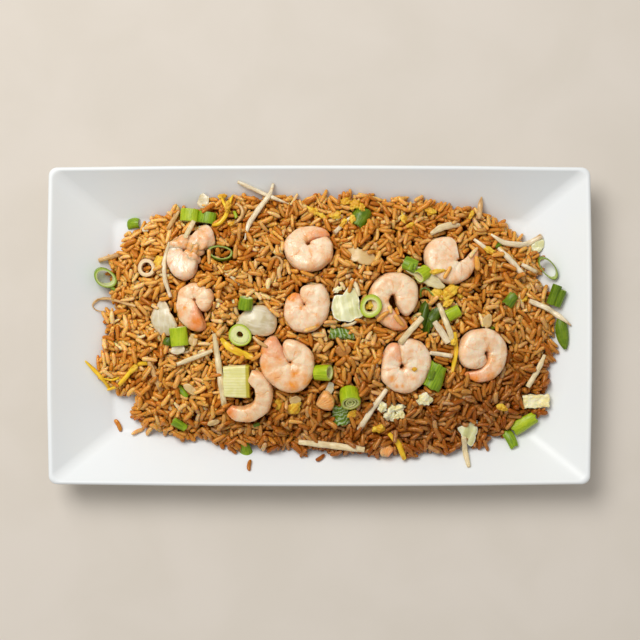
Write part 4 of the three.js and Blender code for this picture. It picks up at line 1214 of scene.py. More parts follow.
def outlined_patch(outline, dome, thick, veins, crease, ripples, seed):
    """A domed patch with this outline round the origin."""
    patch = begin(bpy.ops.mesh.primitive_grid_add, x_subdivisions=PATCH_CUTS, y_subdivisions=PATCH_CUTS,
                  size=2 * MM)
    directions, reach = np.array(outline, float).T
    radius = reach.max()
    turn = math.radians(veins)

    def shaped(points):
        ring = abs(points[:, :2]).max(1)
        angle = np.arctan2(points[:, 1], points[:, 0])
        edge = np.interp(np.degrees(angle) % 360, directions, reach, period=360)
        out = ring * edge
        x, y = out * np.cos(angle), out * np.sin(angle)
        across = turned(x, y, -turn)[1]
        ripple = noise_over(x / 5, y / 5, seed * 7)
        frill = noise_over(x / 2.2, y / 2.2, seed * 7)
        z = dome * (1 - (out / radius) ** 2) - crease * np.cos(across * 1.1)
        z = z + ripples * (ripple + 0.7 * frill * ring**3)
        return np.column_stack([x + 0.3 * frill * ring, y + 0.3 * ripple * ring, z])

    reshape(patch, shaped)
    apply_modifier(patch, "SOLIDIFY", thickness=thick * MM, offset=0)
    round_edges(patch, thick / 3.2, least_turn=45)
    subdivide_surface(patch, 1)
    x, y, z = points_of(patch).T
    store(patch, "own_place", np.column_stack([*turned(x, y, -turn), z]) + 53 * seed)
    edge = np.interp(np.degrees(np.arctan2(y, x)) % 360, directions, reach, period=360)
    store(patch, "rim", np.hypot(x, y) / edge)
    store(patch, "depth", np.zeros(len(x)))
    return patch


def limp_flesh(name, pale, deep, vein, edge, vein_width, vein_height):
    """Translucent flesh with soft veins and a rim of another tone."""
    flesh = Finish(name, own_place=True, Subsurface_Weight=0.5, Subsurface_Scale=2.0 * MM,
                   Subsurface_Radius=(1.0, 0.9, 0.5), Coat_Weight=0.2, Coat_Roughness=0.16)
    veins = flesh.between(flesh.group("fibres", width=vein_width), 0.45, 0.62)
    base = flesh.mix(flesh.patches(7.0, 0.35, 0.65), pale, deep)
    veined = flesh.mix(flesh.times(veins, 0.55), base, vein)
    flesh.colour(flesh.mix(flesh.between(flesh.attribute("rim"), 0.86, 1.0), veined, edge))
    flesh.roughness(flesh.patches(2.0), 0.28, 0.46)
    flesh.relief(veins, vein_height)
    return flesh.material


PATCH_KINDS = {
    "onion": ("onion", limp_flesh("onion_flesh", (222, 212, 184), (202, 186, 146), (232, 224, 202),
                                  (214, 186, 140), 1.6, 0.05)),
    "fried": ("onion", limp_flesh("fried_onion_flesh", (222, 194, 138), (204, 166, 102), (216, 186, 130),
                                  (200, 160, 96), 2.4, 0.03)),
    "amber": ("onion", limp_flesh("soaked_onion_flesh", (196, 132, 48), (168, 102, 26), (204, 146, 64),
                                  (180, 112, 38), 2.4, 0.03)),
    "cabbage": ("cabbage", limp_flesh("cabbage_flesh", (218, 214, 164), (206, 204, 140), (236, 236, 200),
                                      (240, 238, 208), 2.4, 0.1)),
    "stem": ("cabbage", limp_flesh("stem_flesh", (228, 216, 172), (212, 192, 136), (234, 224, 184),
                                   (210, 190, 130), 1.2, 0.1)),
    "dark": ("spring_onion", ONION_FINISHES["dark"]),
}
for number, (node, cut) in enumerate(PATCHES.items()):
    patch = outlined_patch(cut["outline"], cut["dome"], cut["thick"], cut["veins"], cut["crease"],
                           cut["ripples"], number + 1)
    lay_over(patch, node, cut["middle"], cut["rise"])
    slot, material = PATCH_KINDS[cut["kind"]]
    finish(patch, node + "_curved", slot, material, node)
    TOPPINGS.append(patch)
print("patches:", len(PATCHES))

# %% [markdown]
# ## Leek
# The chunk was cut across the white of a leek, whose layers are sheets rolled tightly round each other. It
# is a block, subdivided finely. Its top is then raised into one soft ridge for each layer, its sides are
# rounded, and the layers end at slightly different lengths.

# %% Leek chunk
LEEK_SIZE, LEEK_RIDGES, LEEK_YAW = (15, 18, 5.4), 11, 1

leek = begin(bpy.ops.mesh.primitive_cube_add, size=2 * MM)
edit()
bpy.ops.mesh.subdivide(number_cuts=51)
leave_edit()


def layered(points):
    u, v, w = points.T
    layer = (v + 1) / 2 * LEEK_RIDGES
    ridge = abs(np.sin(math.pi * layer)) ** 0.7
    step = np.sin(5.3 * np.floor(layer))
    ridged = 1 - 0.16 * v**2 - 0.045 * (1 - ridge) - 0.1 * abs(u) ** 6 + 0.03 * step
    high = np.where(w > 0, ridged, 1)
    x = u * (1 - 0.05 * abs(w) ** 4 - 0.03 * abs(v) ** 6 + 0.02 * step)
    y = v * (1 - 0.06 * abs(w) ** 4 - 0.03 * abs(u) ** 6) + 0.04 * u * v
    return np.column_stack([x, y, w * high]) * LEEK_SIZE / 2


reshape(leek, layered)
remember_place(leek)
leek_flesh = Finish("leek_flesh", own_place=True, Subsurface_Weight=0.4, Subsurface_Scale=2.0 * MM,
                    Subsurface_Radius=(0.9, 1.0, 0.4), Coat_Weight=0.2, Coat_Roughness=0.18, Roughness=0.34)
leek_place = leek_flesh.split(leek_flesh.place)
leek_layer = leek_flesh.times(leek_place["Y"], LEEK_RIDGES / LEEK_SIZE[1])
leek_groove = leek_flesh.between(leek_flesh.math("PINGPONG", leek_layer, 0.5), 0.3, 0.0)
leek_pale = leek_flesh.mix(leek_flesh.patches(5.0, 0.35, 0.65), (236, 230, 172), (226, 220, 146))
leek_lined = leek_flesh.mix(leek_flesh.times(leek_groove, 0.36), leek_pale, (208, 200, 100))
leek_end = leek_flesh.between(leek_place["X"], 4.9, 5.8)
leek_flesh.colour(leek_flesh.mix(leek_end, leek_lined, (188, 174, 46)))
leek_flesh.relief(leek_flesh.group("fibres", width=0.5), 0.08)
lie_like(leek, "leek_chunk", LEEK_YAW)
finish(leek, "leek_layers", "leek", leek_flesh.material, "leek_chunk")
TOPPINGS.append(leek)

# %% [markdown]
# ## Egg
# Egg was scrambled in the pan and broke up into a flat slab, soft curds and small shreds. The slab is a
# subdivided block, pushed about by noise so that no face stays flat. The curd is a few crumbs stuck together.

# %% Egg pieces
egg_lumps = bpy.data.textures.new("egg_lumps", "CLOUDS")
egg_lumps.noise_scale = 2.4 * MM
egg_lumps.noise_depth = 2


def egg_finish(name, pale, deep, spot_size):
    egg = Finish(name, own_place=True, Roughness=0.42, Subsurface_Weight=0.4, Subsurface_Scale=1.5 * MM,
                 Subsurface_Radius=(1.0, 0.8, 0.3))
    base = egg.mix(egg.patches(3.4, 0.4, 0.6), pale, deep)
    egg.colour(egg.mix(egg.group("specks", spacing=2.6, share=spot_size), base, (176, 112, 36)))
    egg.relief(egg.patches(1.1), 0.2)
    return egg.material


EGG = egg_finish("scrambled_egg", (250, 240, 200), (246, 230, 166), 0.05)
EGG_YELLOW = egg_finish("egg_yolk_crumbs", (240, 200, 60), (220, 162, 20), 0.1)


def add_crumb(seed):
    """A lump of size 1, pushed about by noise."""
    crumb = begin(bpy.ops.mesh.primitive_ico_sphere_add, subdivisions=4, radius=0.5 * MM)

    def crumpled(points):
        push = [noise.noise(Vector(point) * 2.6 + Vector((seed, 0, 0))) for point in points]
        fold = [noise.noise(Vector(point) * 6 + Vector((0, seed, 0))) for point in points]
        return points * (1 + 0.6 * np.array(push) + 0.3 * np.array(fold))[:, None]

    reshape(crumb, crumpled)
    return crumb


EGG_SLAB_SIZE, EGG_SLAB_YAW = (15, 7.4, 3.8), 2
slab = begin(bpy.ops.mesh.primitive_cube_add, size=1 * MM)
edit()
bpy.ops.transform.resize(value=EGG_SLAB_SIZE, center_override=(0, 0, 0))
bpy.ops.mesh.subdivide(number_cuts=7)
leave_edit()
round_edges(slab, 0.7)
subdivide_surface(slab, 1)
apply_modifier(slab, "DISPLACE", texture=egg_lumps, strength=2.2 * MM, mid_level=0.55)
remember_place(slab)
lie_like(slab, "egg_slab", EGG_SLAB_YAW)
finish(slab, "egg_slab_fried", "egg", EGG, "egg_slab")
TOPPINGS.append(slab)

# Place from the curd's middle, length, width and height in millimetres, and direction in degrees.
CURD_LUMPS = [(-2.4, -0.6, 9, 5.4, 5, 60), (1.6, 2.2, 8, 3.6, 4, 15), (3.6, -1.4, 6, 3.4, 3.6, -50),
              (-0.4, -3.4, 6.4, 3.8, 4, 10)]
lumps = []
for number, (x, y, long, wide, tall, yaw) in enumerate(CURD_LUMPS):
    lump = add_crumb(number * 2.3 + 60)
    set_points(lump, points_of(lump) * (long, wide, tall))
    lump.rotation_euler = (0, 0, math.radians(yaw))
    lump.location = Vector((x, y, 0.4 * math.sin(number * 4))) * MM
    apply_place(lump)
    lumps.append(lump)
curd = join(lumps)
remember_place(curd)
lie_like(curd, "egg_curd")
finish(curd, "egg_curd_fried", "egg", EGG, "egg_curd")
TOPPINGS.append(curd)

# %% [markdown]
# ## One grain of rice
# A cooked long grain is a slim rod: blunt or broken at its ends, a little bent, flattened and dented where
# it lay against others. Each grain shows only a few dozen faces, because thousands of them lie in the heap.
# A ball with its poles at the tips is drawn out and dented, in several kinds, so that neighbours don't look
# alike.

# %% Kinds of grain
GRAIN_SEGMENTS, GRAIN_RINGS, GRAIN_VARIETY = 7, 8, 14
GRAIN_EDGES = 2.4  # 2 makes a round section, more gives it four soft edges


def make_grain(seed):
    """A grain of half-length 1 and half-width 1, as an array of points and a list of faces."""
    mood = np.random.default_rng(seed)
    bend, blunt, flat = mood.uniform(-0.5, 0.5), mood.uniform(-0.05, 0.2), mood.uniform(0.8, 0.98)
    squareness = mood.uniform(3.2, 6.5)
    grain = begin(bpy.ops.mesh.primitive_uv_sphere_add, segments=GRAIN_SEGMENTS, ring_count=GRAIN_RINGS,
                  radius=1)
    edit()
    turn_selected(math.radians(90), "Y")
    leave_edit()
    points = points_of(grain) * MM
    points[:, 0] = np.sign(points[:, 0]) * abs(points[:, 0]) ** 0.64
    x = points[:, 0]
    around = np.hypot(points[:, 1], points[:, 2]) + 1e-9
    full = (1 - abs(x) ** squareness) ** 0.5 * (1 - blunt * x)
    side_y, side_z = abs(points[:, 1]) / around, abs(points[:, 2]) / around
    full *= (side_y**GRAIN_EDGES + side_z**GRAIN_EDGES) ** (-1 / GRAIN_EDGES)
    full *= 1 + mood.uniform(-0.07, 0.07, len(x))
    full[abs(x) > 0.999] = 0
    points[:, 1] *= full / around
    points[:, 2] *= full / around * flat
    points[:, 1] += bend * (x**2 - 0.35)
    points[:, 2] += 0.3 * bend * (x - 0.5 * x**3)
    faces = [tuple(face.vertices) for face in grain.data.polygons]
    bpy.data.objects.remove(grain)
    return points, faces


GRAIN_KINDS = [make_grain(seed) for seed in range(GRAIN_VARIETY)]
print("grain:", len(GRAIN_KINDS[0][1]), "faces,", len(GRAIN_KINDS), "kinds")

# %% [markdown]
# ## Laying the grains
# Thousands of rigid bodies would take too long to drop, so the heap is filled on a map of heights, half a
# millimetre to a cell. For every new grain some places where the heap still lacks height are tried. At each
# the grain is tilted until its middle lies lowest, which is how a real grain comes to rest. The place where
# it sinks in deepest is taken, and the map rises under it. Prawns and vegetables are in the map too, so
# grains lie against them and not inside them. Sticky rice lies in bundles, so most grains follow a
# direction that drifts over the heap.

# %% Map of heights
CELL = 0.5
MAP_X = np.arange(-146, 146.01, CELL)
MAP_Y = np.arange(-84, 84.01, CELL)
CELL_X, CELL_Y = np.meshgrid(MAP_X, MAP_Y)
HIGH_UP, FAR_BELOW = 100.0, -100.0


def cells_at(x, y):
    """The rows and columns of the map's cells under these points."""
    column = np.rint((np.asarray(x) - MAP_X[0]) / CELL).astype(int).clip(0, len(MAP_X) - 1)
    row = np.rint((np.asarray(y) - MAP_Y[0]) / CELL).astype(int).clip(0, len(MAP_Y) - 1)
    return row, column


def scan(pieces):
    """The highest and the lowest surface of the pieces over each cell."""
    over = np.full(CELL_X.shape, FAR_BELOW)
    under = np.full(CELL_X.shape, HIGH_UP)
    for piece in pieces:
        mesh = piece.data
        tree = BVHTree.FromPolygons([v.co / MM for v in mesh.vertices], [p.vertices for p in mesh.polygons])
        low, high = points_of(piece).min(0), points_of(piece).max(0)
        first_row, first_column = cells_at(low[0], low[1])
        last_row, last_column = cells_at(high[0], high[1])
        for row in range(first_row, last_row + 1):
            for column in range(first_column, last_column + 1):
                spot = (MAP_X[column], MAP_Y[row])
                down = tree.ray_cast(Vector((*spot, HIGH_UP)), Vector((0, 0, -1)))[0]
                if down is None:
                    continue
                up = tree.ray_cast(Vector((*spot, FAR_BELOW)), Vector((0, 0, 1)))[0]
                over[row, column] = max(over[row, column], down.z)
                under[row, column] = min(under[row, column], up.z)
    return over, under


# %% Letting grains come to rest
GRAIN_LENGTH, GRAIN_WIDTH, GRAIN_FLATNESS = 7.9, 2.45, 0.86
TILTS = np.radians(np.linspace(-48, 48, 13))
ALONG, ACROSS = [part.ravel() for part in np.meshgrid(np.linspace(-0.94, 0.94, 9), (-0.7, 0, 0.7))]
ROUND = np.sqrt(1 - 0.93 * ALONG**2) * np.sqrt(1 - ACROSS**2)
BROKEN_SHARE = 0.12


def grain_size(rng):
    """Length and width of a grain, which may be a broken one."""
    length = np.clip(rng.normal(GRAIN_LENGTH, 0.9), 5.8, 9.6)
    if rng.random() < BROKEN_SHARE:
        length = rng.uniform(3.4, 5.4)
    return float(length), float(np.clip(rng.normal(GRAIN_WIDTH, 0.28), 1.9, 3.3))


def wave(u, length, v, bend_length, bend=2):
    """A wave along u whose crests are bent along v."""
    return np.sin(u / length + bend * np.sin(v / bend_length))


def bundle_direction(x, y):
    """The direction that grains mostly follow at a place, in radians."""
    return 2.2 * wave(x, 11, y, 9, bend=1.3) + 1.7 * np.cos(y / 8.5 - x / 17)


def rest_grain(heights, ceiling, x, y, yaw, length, width):
    """For arrays of places and directions: the lowest rest of a grain at each, as its middle's height and its
    tilt, and whether it stays under the ceiling."""
    run = (length / 2) * np.cos(TILTS)[None, :, None] * ALONG
    side = (width / 2) * ACROSS
    cos, sin = np.cos(yaw)[:, None, None], np.sin(yaw)[:, None, None]
    row, column = cells_at(x[:, None, None] + run * cos - side * sin,
                           y[:, None, None] + run * sin + side * cos)
    rise = (length / 2) * np.sin(TILTS)[None, :, None] * ALONG
    thick = (width / 2) * GRAIN_FLATNESS * ROUND
    middles = (heights[row, column] - rise + thick).max(2)
    best = middles.argmin(1)
    each = np.arange(len(x))
    middle = middles[each, best]
    top = middle[:, None] + rise[0, best] + thick
    clear = (top < ceiling[row[each, best], column[each, best]]).all(1)
    return middle, TILTS[best], clear


def raise_map(heights, grain):
    """Lifts the map to the top of the grain."""
    x, y, z, yaw, tilt, length, width = grain
    reach = int(length / 2 / CELL) + 2
    row, column = cells_at(x, y)
    part = (slice(max(0, row - reach), row + reach + 1), slice(max(0, column - reach), column + reach + 1))
    along, across = turned(CELL_X[part] - x, CELL_Y[part] - y, -yaw)
    along = along / (length / 2 * math.cos(tilt))
    across = across / (width / 2)
    inside = 1 - along**2 - across**2
    top = z + along * (length / 2) * math.sin(tilt)
    top = top + (width / 2) * GRAIN_FLATNESS * np.sqrt(np.maximum(inside, 0))
    heights[part] = np.where(inside > 0, np.maximum(heights[part], top), heights[part])


SINK = 0.6  # sticky grains press into each other by this much, but not into the platter
LACKING = 0.8  # a cell that is this far under the target takes another grain
FEW_CELLS = 20  # the map is full when fewer cells than this lack height
LOOK_EVERY = 60  # the cells that lack height are looked for again after this many tries
MOST_MISSES = 40  # when more grains than this in a row find no place, the filling ends
BUNDLED_SHARE, BUNDLED_SPREAD, LOOSE_SPREAD = 0.72, 0.45, 3.0  # how many grains follow a bundle, how closely


def fill(heights, target, ceiling, rng, most, slack=0.3, tries=30):
    """Lays grains until the map is full up to the target, or most are laid. The fewer places are tried for
    each, the more loosely the grains lie."""
    laid, misses = [], 0
    for number in range(most * 2):
        if number % LOOK_EVERY == 0:
            lacking = np.flatnonzero((target - heights).ravel() > LACKING)
            if len(lacking) < FEW_CELLS:
                break
        length, width = grain_size(rng)
        row, column = np.divmod(lacking[rng.integers(len(lacking), size=tries)], len(MAP_X))
        x = MAP_X[column] + rng.uniform(-0.4, 0.4, tries)
        y = MAP_Y[row] + rng.uniform(-0.4, 0.4, tries)
        spread = BUNDLED_SPREAD if rng.random() < BUNDLED_SHARE else LOOSE_SPREAD
        yaw = bundle_direction(x, y) + rng.normal(0, spread, tries)
        middle, tilt, clear = rest_grain(heights, ceiling, x, y, yaw, length, width)
        over = np.where(clear, middle - SINK - target[row, column], HIGH_UP)
        best = over.argmin()
        if over[best] > slack:
            misses += 1
            if misses > MOST_MISSES:
                break
            continue
        misses = 0
        grain = (x[best], y[best], middle[best] - SINK, yaw[best], tilt[best], length, width)
        raise_map(heights, grain)
        laid.append(grain)
        if len(laid) >= most:
            break
    return laid


# %% [markdown]
# The heap is filled in steps. First the layer under the prawns and vegetables, with their undersides as a
# ceiling. Then their tops go into the map, and the grains between them are laid up to the heap's surface,
# which is given clumps and hollows. Strands, shreds and scraps come next, and a last few grains lie between
# them.

# %% Filling the heap
FULL_EDGE = 0.985  # share of the heap's outline up to which grains are laid
# Where the rice thins out before its outline: direction in degrees, share of the radius, spread.
THIN_EDGE = [(171, 0.05, 5), (200, 0.055, 4.5), (238, 0.07, 9), (264, 0.035, 6), (292, 0.015, 5)]
rng = np.random.default_rng(11)
over_map, under_map = scan(TOPPINGS)
bare = platter_surface(CELL_X, CELL_Y)
heights = np.maximum(bare + SINK, scan([core])[0])
heap_share = heap_radius(CELL_X, CELL_Y)
degrees = np.degrees(np.arctan2(CELL_Y, CELL_X - HEAP_CENTRE_X)) % 360
thinned = sum(amount * np.exp(-(((degrees - direction) / spread) ** 2))
              for direction, amount, spread in THIN_EDGE)
ragged = wave(CELL_X, 3.3, CELL_Y, 5.1) + wave(CELL_Y, 2.7, CELL_X, 4.7)
in_heap = heap_share < FULL_EDGE - thinned + 0.02 * ragged
clumps = 1.5 * wave(CELL_X, 2.9, CELL_Y, 5.3, bend=1.5) * wave(CELL_Y, 3.3, CELL_X, 6.1, bend=1.5)
hollows = wave(CELL_X, 1.9, CELL_Y, 3.7) * wave(CELL_Y, 2.3, CELL_X, 4.1)
clumps = clumps - 5 * np.maximum(0, hollows - 0.55)
uneven_top = heap_top(CELL_X, CELL_Y) + clumps * np.clip(5 * (1 - heap_share), 0, 1)
surface = np.where(in_heap, uneven_top, FAR_BELOW)
no_ceiling = np.full(CELL_X.shape, HIGH_UP)

covered = over_map > FAR_BELOW
lower_target = np.where(covered & in_heap, np.minimum(surface, under_map), FAR_BELOW)
grains = fill(heights, lower_target, under_map - 0.1, rng, most=1500, slack=-1.2)
print("grains under the toppings:", len(grains))
heights = np.maximum(heights, over_map)
surface = np.where(covered, FAR_BELOW, surface)
grains += fill(heights, surface, no_ceiling, rng, most=5000, slack=-1.3)
print("grains up to the loose layer:", len(grains))
grains += fill(heights, surface, no_ceiling, rng, most=3500, slack=1.0, tries=5)
print("grains in the heap:", len(grains))

# %% [markdown]
# ## Sprouts, stems and shreds
# Bean sprouts are thick white stems with a thin browned root. Between them lie yellow shreds of egg, tan
# onion fibres and narrow stems. Each is drawn as a curve over the map of heights, a little stiff, so that
# it spans the hollows between grains. The curve has a round bevel whose radius changes along it, and
# becomes a mesh.

# %% Laying a strand over the heap
# Each row holds the strand's finish, its greatest width, how much is left of the width at its first and at
# its last end, and its path. The height, as a share of the width, may follow, and how far it is raised over
# what it lies on, in millimetres.
STRANDS = [
    ("sprout", 2.6, (0.8, 0.25), [(-46, 81), (-36, 76.5), (-26.2, 72.1), (-17.3, 68.7)], 0.85, 0.6),
    ("sprout", 3.4, (0.3, 0.5), [(-41.8, 48.1), (-39.8, 57), (-34, 66), (-28.2, 73), (-26, 80)]),
    ("sprout", 2.9, (0.4, 0.7), [(-84.1, 46.9), (-87.2, 36), (-86.6, 25.5), (-83.4, 16)], 0.85, 0.8),
    ("tan", 2.9, (0.9, 0.6), [(-125.4, 37), (-119.2, 39), (-112, 40.5)]),
    ("tan", 1.9, (1.0, 0.3), [(-103.5, 11), (-112, 13.4), (-120, 15.6), (-125.5, 15.4), (-128.4, 12)]),
    ("tan", 0.7, (1.0, 0.6), [(-125.5, 15.4), (-129.4, 13), (-128.6, 9.4), (-124.4, 7.8), (-118.4, 9)]),
    ("egg", 2.6, (0.4, 0.8), [(-132.6, -19.9), (-127, -26), (-122, -31.4), (-119.4, -36.4)]),
    ("egg", 2.8, (0.5, 0.9), [(-120.6, -36.6), (-114, -34.4), (-107.5, -27), (-103.2, -21.6), (-97, -21)]),
    ("egg", 1.6, (0.5, 0.8), [(-122, -30), (-117, -31.4), (-113.7, -29.4)]),
    ("tan", 3.2, (0.4, 0.9), [(-97, -17.1), (-93.1, -26.6), (-89.2, -36)], 0.5, 0.6),
    ("stem", 3, (0.8, 0.8), [(-79.7, -21.6), (-69.6, -17.7), (-59.6, -13.7)], 0.85, 0.8),
    ("stem", 3.8, (0.7, 0.9), [(-58.5, -4.3), (-56.6, -19.3), (-53.2, -44.4)], 0.6),
    ("sprout", 2.8, (0.6, 1.0), [(17.3, 60.9), (12.8, 56.5), (8.4, 52)]),
    ("stem", 4.4, (0.5, 0.6), [(62.6, 51.6), (67.6, 54.9), (73.2, 56.6), (78.8, 56.6)], 0.5, 0.8),
    ("sprout", 3.6, (0.4, 0.9), [(97, 51.5), (103.7, 46.8), (113, 45.6), (119, 46.6),
        (126, 50.9)], 0.85, 0.8),
    ("sprout", 2.6, (0.7, 0.9), [(87, 48.6), (91.5, 45), (95, 42.4)]),
    ("sprout", 3.6, (0.6, 0.9), [(100.9, 43.7), (108.1, 36.4), (115.4, 28.1)], 0.85, 0.8),
    ("sprout", 2.8, (0.8, 0.8), [(114.3, 34.7), (123.2, 30.3)]),
    ("sprout", 3.4, (0.9, 0.25), [(118.2, 14.1), (128.8, 9.7), (136, 4.6), (141.6, 0.2)], 0.85, 0.6),
    ("tan", 3.4, (0.2, 1.0), [(91.8, 73), (90.9, 66), (90.1, 60.5)], 0.5),
    ("stem", 3.8, (0.9, 1.0), [(57, 4.6), (51, -2), (44.6, -9.4)], 0.6, 1.2),
    ("stem", 3.6, (0.8, 0.9), [(66.6, 12), (70, 3), (73.4, -5.4), (74, -10)], 0.85, 0.6),
    ("sprout", 4.2, (0.8, 1.0), [(64, 2), (68, -3.4), (71.6, -9.6)], 0.6, 1.4),
    ("egg", 2.6, (0.9, 0.3), [(75.2, -3.6), (76.6, -13.7), (73.2, -30.4)], 0.5, 0.8),
    ("sprout", 2.8, (0.9, 0.9), [(61.6, -15), (74, -16.8)]),
    ("sprout", 3.5, (0.8, 1.0), [(37.4, -35.5), (30, -45.6), (22.4, -58)]),
    ("stem", 4.2, (0.7, 0.9), [(-11.5, -65.4), (6.2, -67.3), (25.4, -69.6)], 0.6),
    ("stem", 3.3, (0.6, 1.0), [(127, -16.6), (122.8, -25.6), (117.6, -34.4)], 0.7),
    ("stem", 3.5, (0.9, 0.6), [(81.3, -63), (82.4, -71), (84.2, -79.5)], 0.6),
    ("stem", 2.8, (0.7, 0.7), [(17.8, 26), (20.6, 22.4), (22, 16.6)], 0.85, 1.2),
    ("stem", 2.2, (0.6, 0.6), [(13.6, 0.2), (17, 0.2), (20.6, 2.6)]),
    ("egg", 3.6, (0.6, 0.8), [(39, -60.5), (44.6, -66.4), (47.8, -75)], 0.6, 0.8),
    ("egg", 4.4, (0.5, 0.7), [(-54.6, -7), (-51, -11.6), (-45, -14.6), (-37, -18)], 0.4),
    ("tan", 2.4, (0.6, 0.6), [(-37, -6), (-33, -9.6), (-29, -11.6)], 0.5),
    ("stem", 1.9, (0.5, 0.9), [(-52.6, 29), (-48.8, 27.6), (-44.6, 23)]),
    ("tan", 1.7, (0.5, 0.5), [(-27.6, 36.6), (-24, 39.4), (-20.4, 36), (-21.4, 30.6)]),
    ("sprout", 1.8, (0.4, 0.5), [(-80.4, -13), (-77, -15.4), (-72.6, -14.2)]),
    ("egg", 2.6, (0.5, 0.8), [(-49, 73.3), (-51.2, 67.7), (-52.3, 62.1), (-56.3, 57),
        (-60.2, 56.5)], 0.85, 0.8),
    ("egg", 2, (0.5, 0.5), [(-55.6, 73.6), (-53.6, 68), (-50, 64)], 0.85, 0.8),
    ("tan", 2.4, (0.6, 0.6), [(-46.7, 68.8), (-43.3, 66.6), (-42.8, 62.6), (-45, 59.3),
        (-48.4, 57.6)], 0.85, 0.8),
    ("stem", 3.2, (0.9, 0.9), [(-70.6, 59), (-72.8, 55.2), (-74.8, 50)], 0.6, 0.6),
    ("tan", 2.8, (0.5, 0.8), [(-79.4, 65), (-82.6, 60), (-85.4, 54.4)], 0.6, 0.6),
    ("leaf", 1.3, (0.8, 0.8), [(56.6, 16), (55.8, 19.6), (57.6, 21.6), (60.4, 21),
        (63.4, 16.8)], 0.85, 0.8),
]
STRAND_STEP = 1.2  # length between two points of a strand
STRAND_SLACK = 2.4  # how far a strand sinks between two high spots
kept_in_sight = np.zeros(CELL_X.shape, bool)  # cells that the last grains leave free


def keep_in_sight(piece, heights):
    """Marks the cells under the piece and gives back the map with the piece on it."""
    over = scan([piece])[0]
    kept_in_sight[over > FAR_BELOW] = True
    return np.maximum(heights, over)


def to_lie_on(heights):
    """The map for what doesn't sink in as grains do: bare porcelain lies at its true height."""
    return np.where(heights > bare + SINK, heights, bare)


def smooth_path(path):
    """Even points along a soft curve through the path's points."""
    knots = np.array(path, float)
    passed = np.concatenate([[0], np.cumsum(np.hypot(*np.diff(knots, axis=0).T))])
    count = max(4, int(passed[-1] / STRAND_STEP))
    spots = np.linspace(0, passed[-1], count)
    line = np.column_stack([np.interp(spots, passed, knots[:, 0]), np.interp(spots, passed, knots[:, 1])])
    for repeat in range(3 if len(path) > 2 else 0):
        line[1:-1] = (line[:-2] + 2 * line[1:-1] + line[2:]) / 4
    return line


def height_under(heights, x, y, radius):
    """The mean of the upper half of the map within the radius of a point."""
    near = (CELL_X - x) ** 2 + (CELL_Y - y) ** 2 < max(radius, 0.8) ** 2
    there = np.sort(heights[near])
    return float(there[len(there) // 2:].mean())


def lay_strand(heights, width, taper, path, flat=0.85, lift=0.4):
    """A round or flattened strand along the path, lying on what the map holds."""
    line = smooth_path(path)
    share = np.linspace(0, 1, len(line))
    full = np.interp(share, (0, 0.3, 0.7, 1), (taper[0], 1, 1, taper[1]))
    full = full * (1 + 0.06 * np.sin(share * 23 + line[0][0]))
    carried = np.array([height_under(heights, x, y, width / 2) for x, y in line])
    for repeat in range(6):
        middle = (carried[:-2] + carried[2:]) / 2
        carried[1:-1] = np.maximum(carried[1:-1] * 0.5 + middle * 0.5, middle - STRAND_SLACK)
    carried += width / 2 * flat * full * 0.8 + lift
    drawn = begin(bpy.ops.curve.primitive_nurbs_path_add)
    drawn.data.splines.clear()
    spline = drawn.data.splines.new("POLY")
    spline.points.add(len(line) - 1)
    for point, (x, y), z, size in zip(spline.points, line, carried, full):
        point.co = (x * MM, y * MM, z * MM, 1)
        point.radius = size
    drawn.data.bevel_depth = width / 2 * MM
    drawn.data.bevel_resolution = 2
    drawn.data.use_fill_caps = True
    drawn.data.twist_mode = "Z_UP"
    bpy.ops.object.convert(target="MESH")
    strand = bpy.context.object
    points = points_of(strand)
    nearest = np.array([np.argmin(((line - spot[:2]) ** 2).sum(1)) for spot in points])
    points[:, 2] = carried[nearest] + (points[:, 2] - carried[nearest]) * flat
    set_points(strand, points)
    away = points[:, :2] - line[nearest]
    ahead = np.gradient(line, axis=0)[nearest]
    ahead /= np.hypot(*ahead.T)[:, None]
    side = away[:, 0] * ahead[:, 1] - away[:, 1] * ahead[:, 0]
    along = share[nearest] * len(line) * STRAND_STEP
    own = np.column_stack([along, side, points[:, 2] - carried[nearest]])
    store(strand, "own_place", own + line[0][0] * 3)
    store(strand, "share", share[nearest])
    store(strand, "depth", np.zeros(len(points)))
    subdivide_surface(strand, 1)
    return strand


# %% Finishes of the strands
def strand_finish(name, pale, deep, end, gloss, line_width=0.5):
    """Fine lines run along the strand, and its last end is browned."""
    fibre = Finish(name, own_place=True, Subsurface_Weight=0.35, Subsurface_Scale=1.5 * MM,
                   Subsurface_Radius=(1.0, 0.9, 0.6), Coat_Weight=gloss, Coat_Roughness=0.15)
    lines = fibre.between(fibre.group("fibres", width=line_width), 0.42, 0.62)
    patches = fibre.patches(3.0)
    base = fibre.mix(fibre.times(fibre.plus(lines, patches), 0.5), pale, deep)
    browned = fibre.between(fibre.attribute("share"), 0.82, 1.0)
    fibre.colour(fibre.mix(fibre.times(browned, patches), base, end))
    fibre.roughness(fibre.patches(1.2), 0.3, 0.46)
    fibre.relief(fibre.plus(lines, fibre.times(patches, 0.6)), 0.12)
    return fibre.material


STRAND_KINDS = {
    "sprout": ("onion", strand_finish("bean_sprout", (246, 232, 202), (226, 202, 158), (196, 146, 84), 0.4)),
    "stem": ("cabbage", strand_finish("cabbage_stem", (238, 222, 180), (216, 190, 140), (204, 178, 122),
                                      0.25)),
    "tan": ("onion", strand_finish("onion_fibre", (222, 184, 122), (190, 138, 74), (160, 104, 50), 0.2)),
    "egg": ("egg", strand_finish("egg_shred", (246, 208, 44), (226, 170, 16), (206, 144, 16), 0.1, 1.0)),
    "leaf": ("spring_onion", ONION_FINISHES["deep"]),
}
for number, (kind, *shape) in enumerate(STRANDS):
    piece = lay_strand(to_lie_on(heights), *shape)
    slot, material = STRAND_KINDS[kind]
    finish(piece, f"{kind}_strand_{number + 1}", slot, material)
    heights = keep_in_sight(piece, heights)
print("strands:", len(STRANDS))

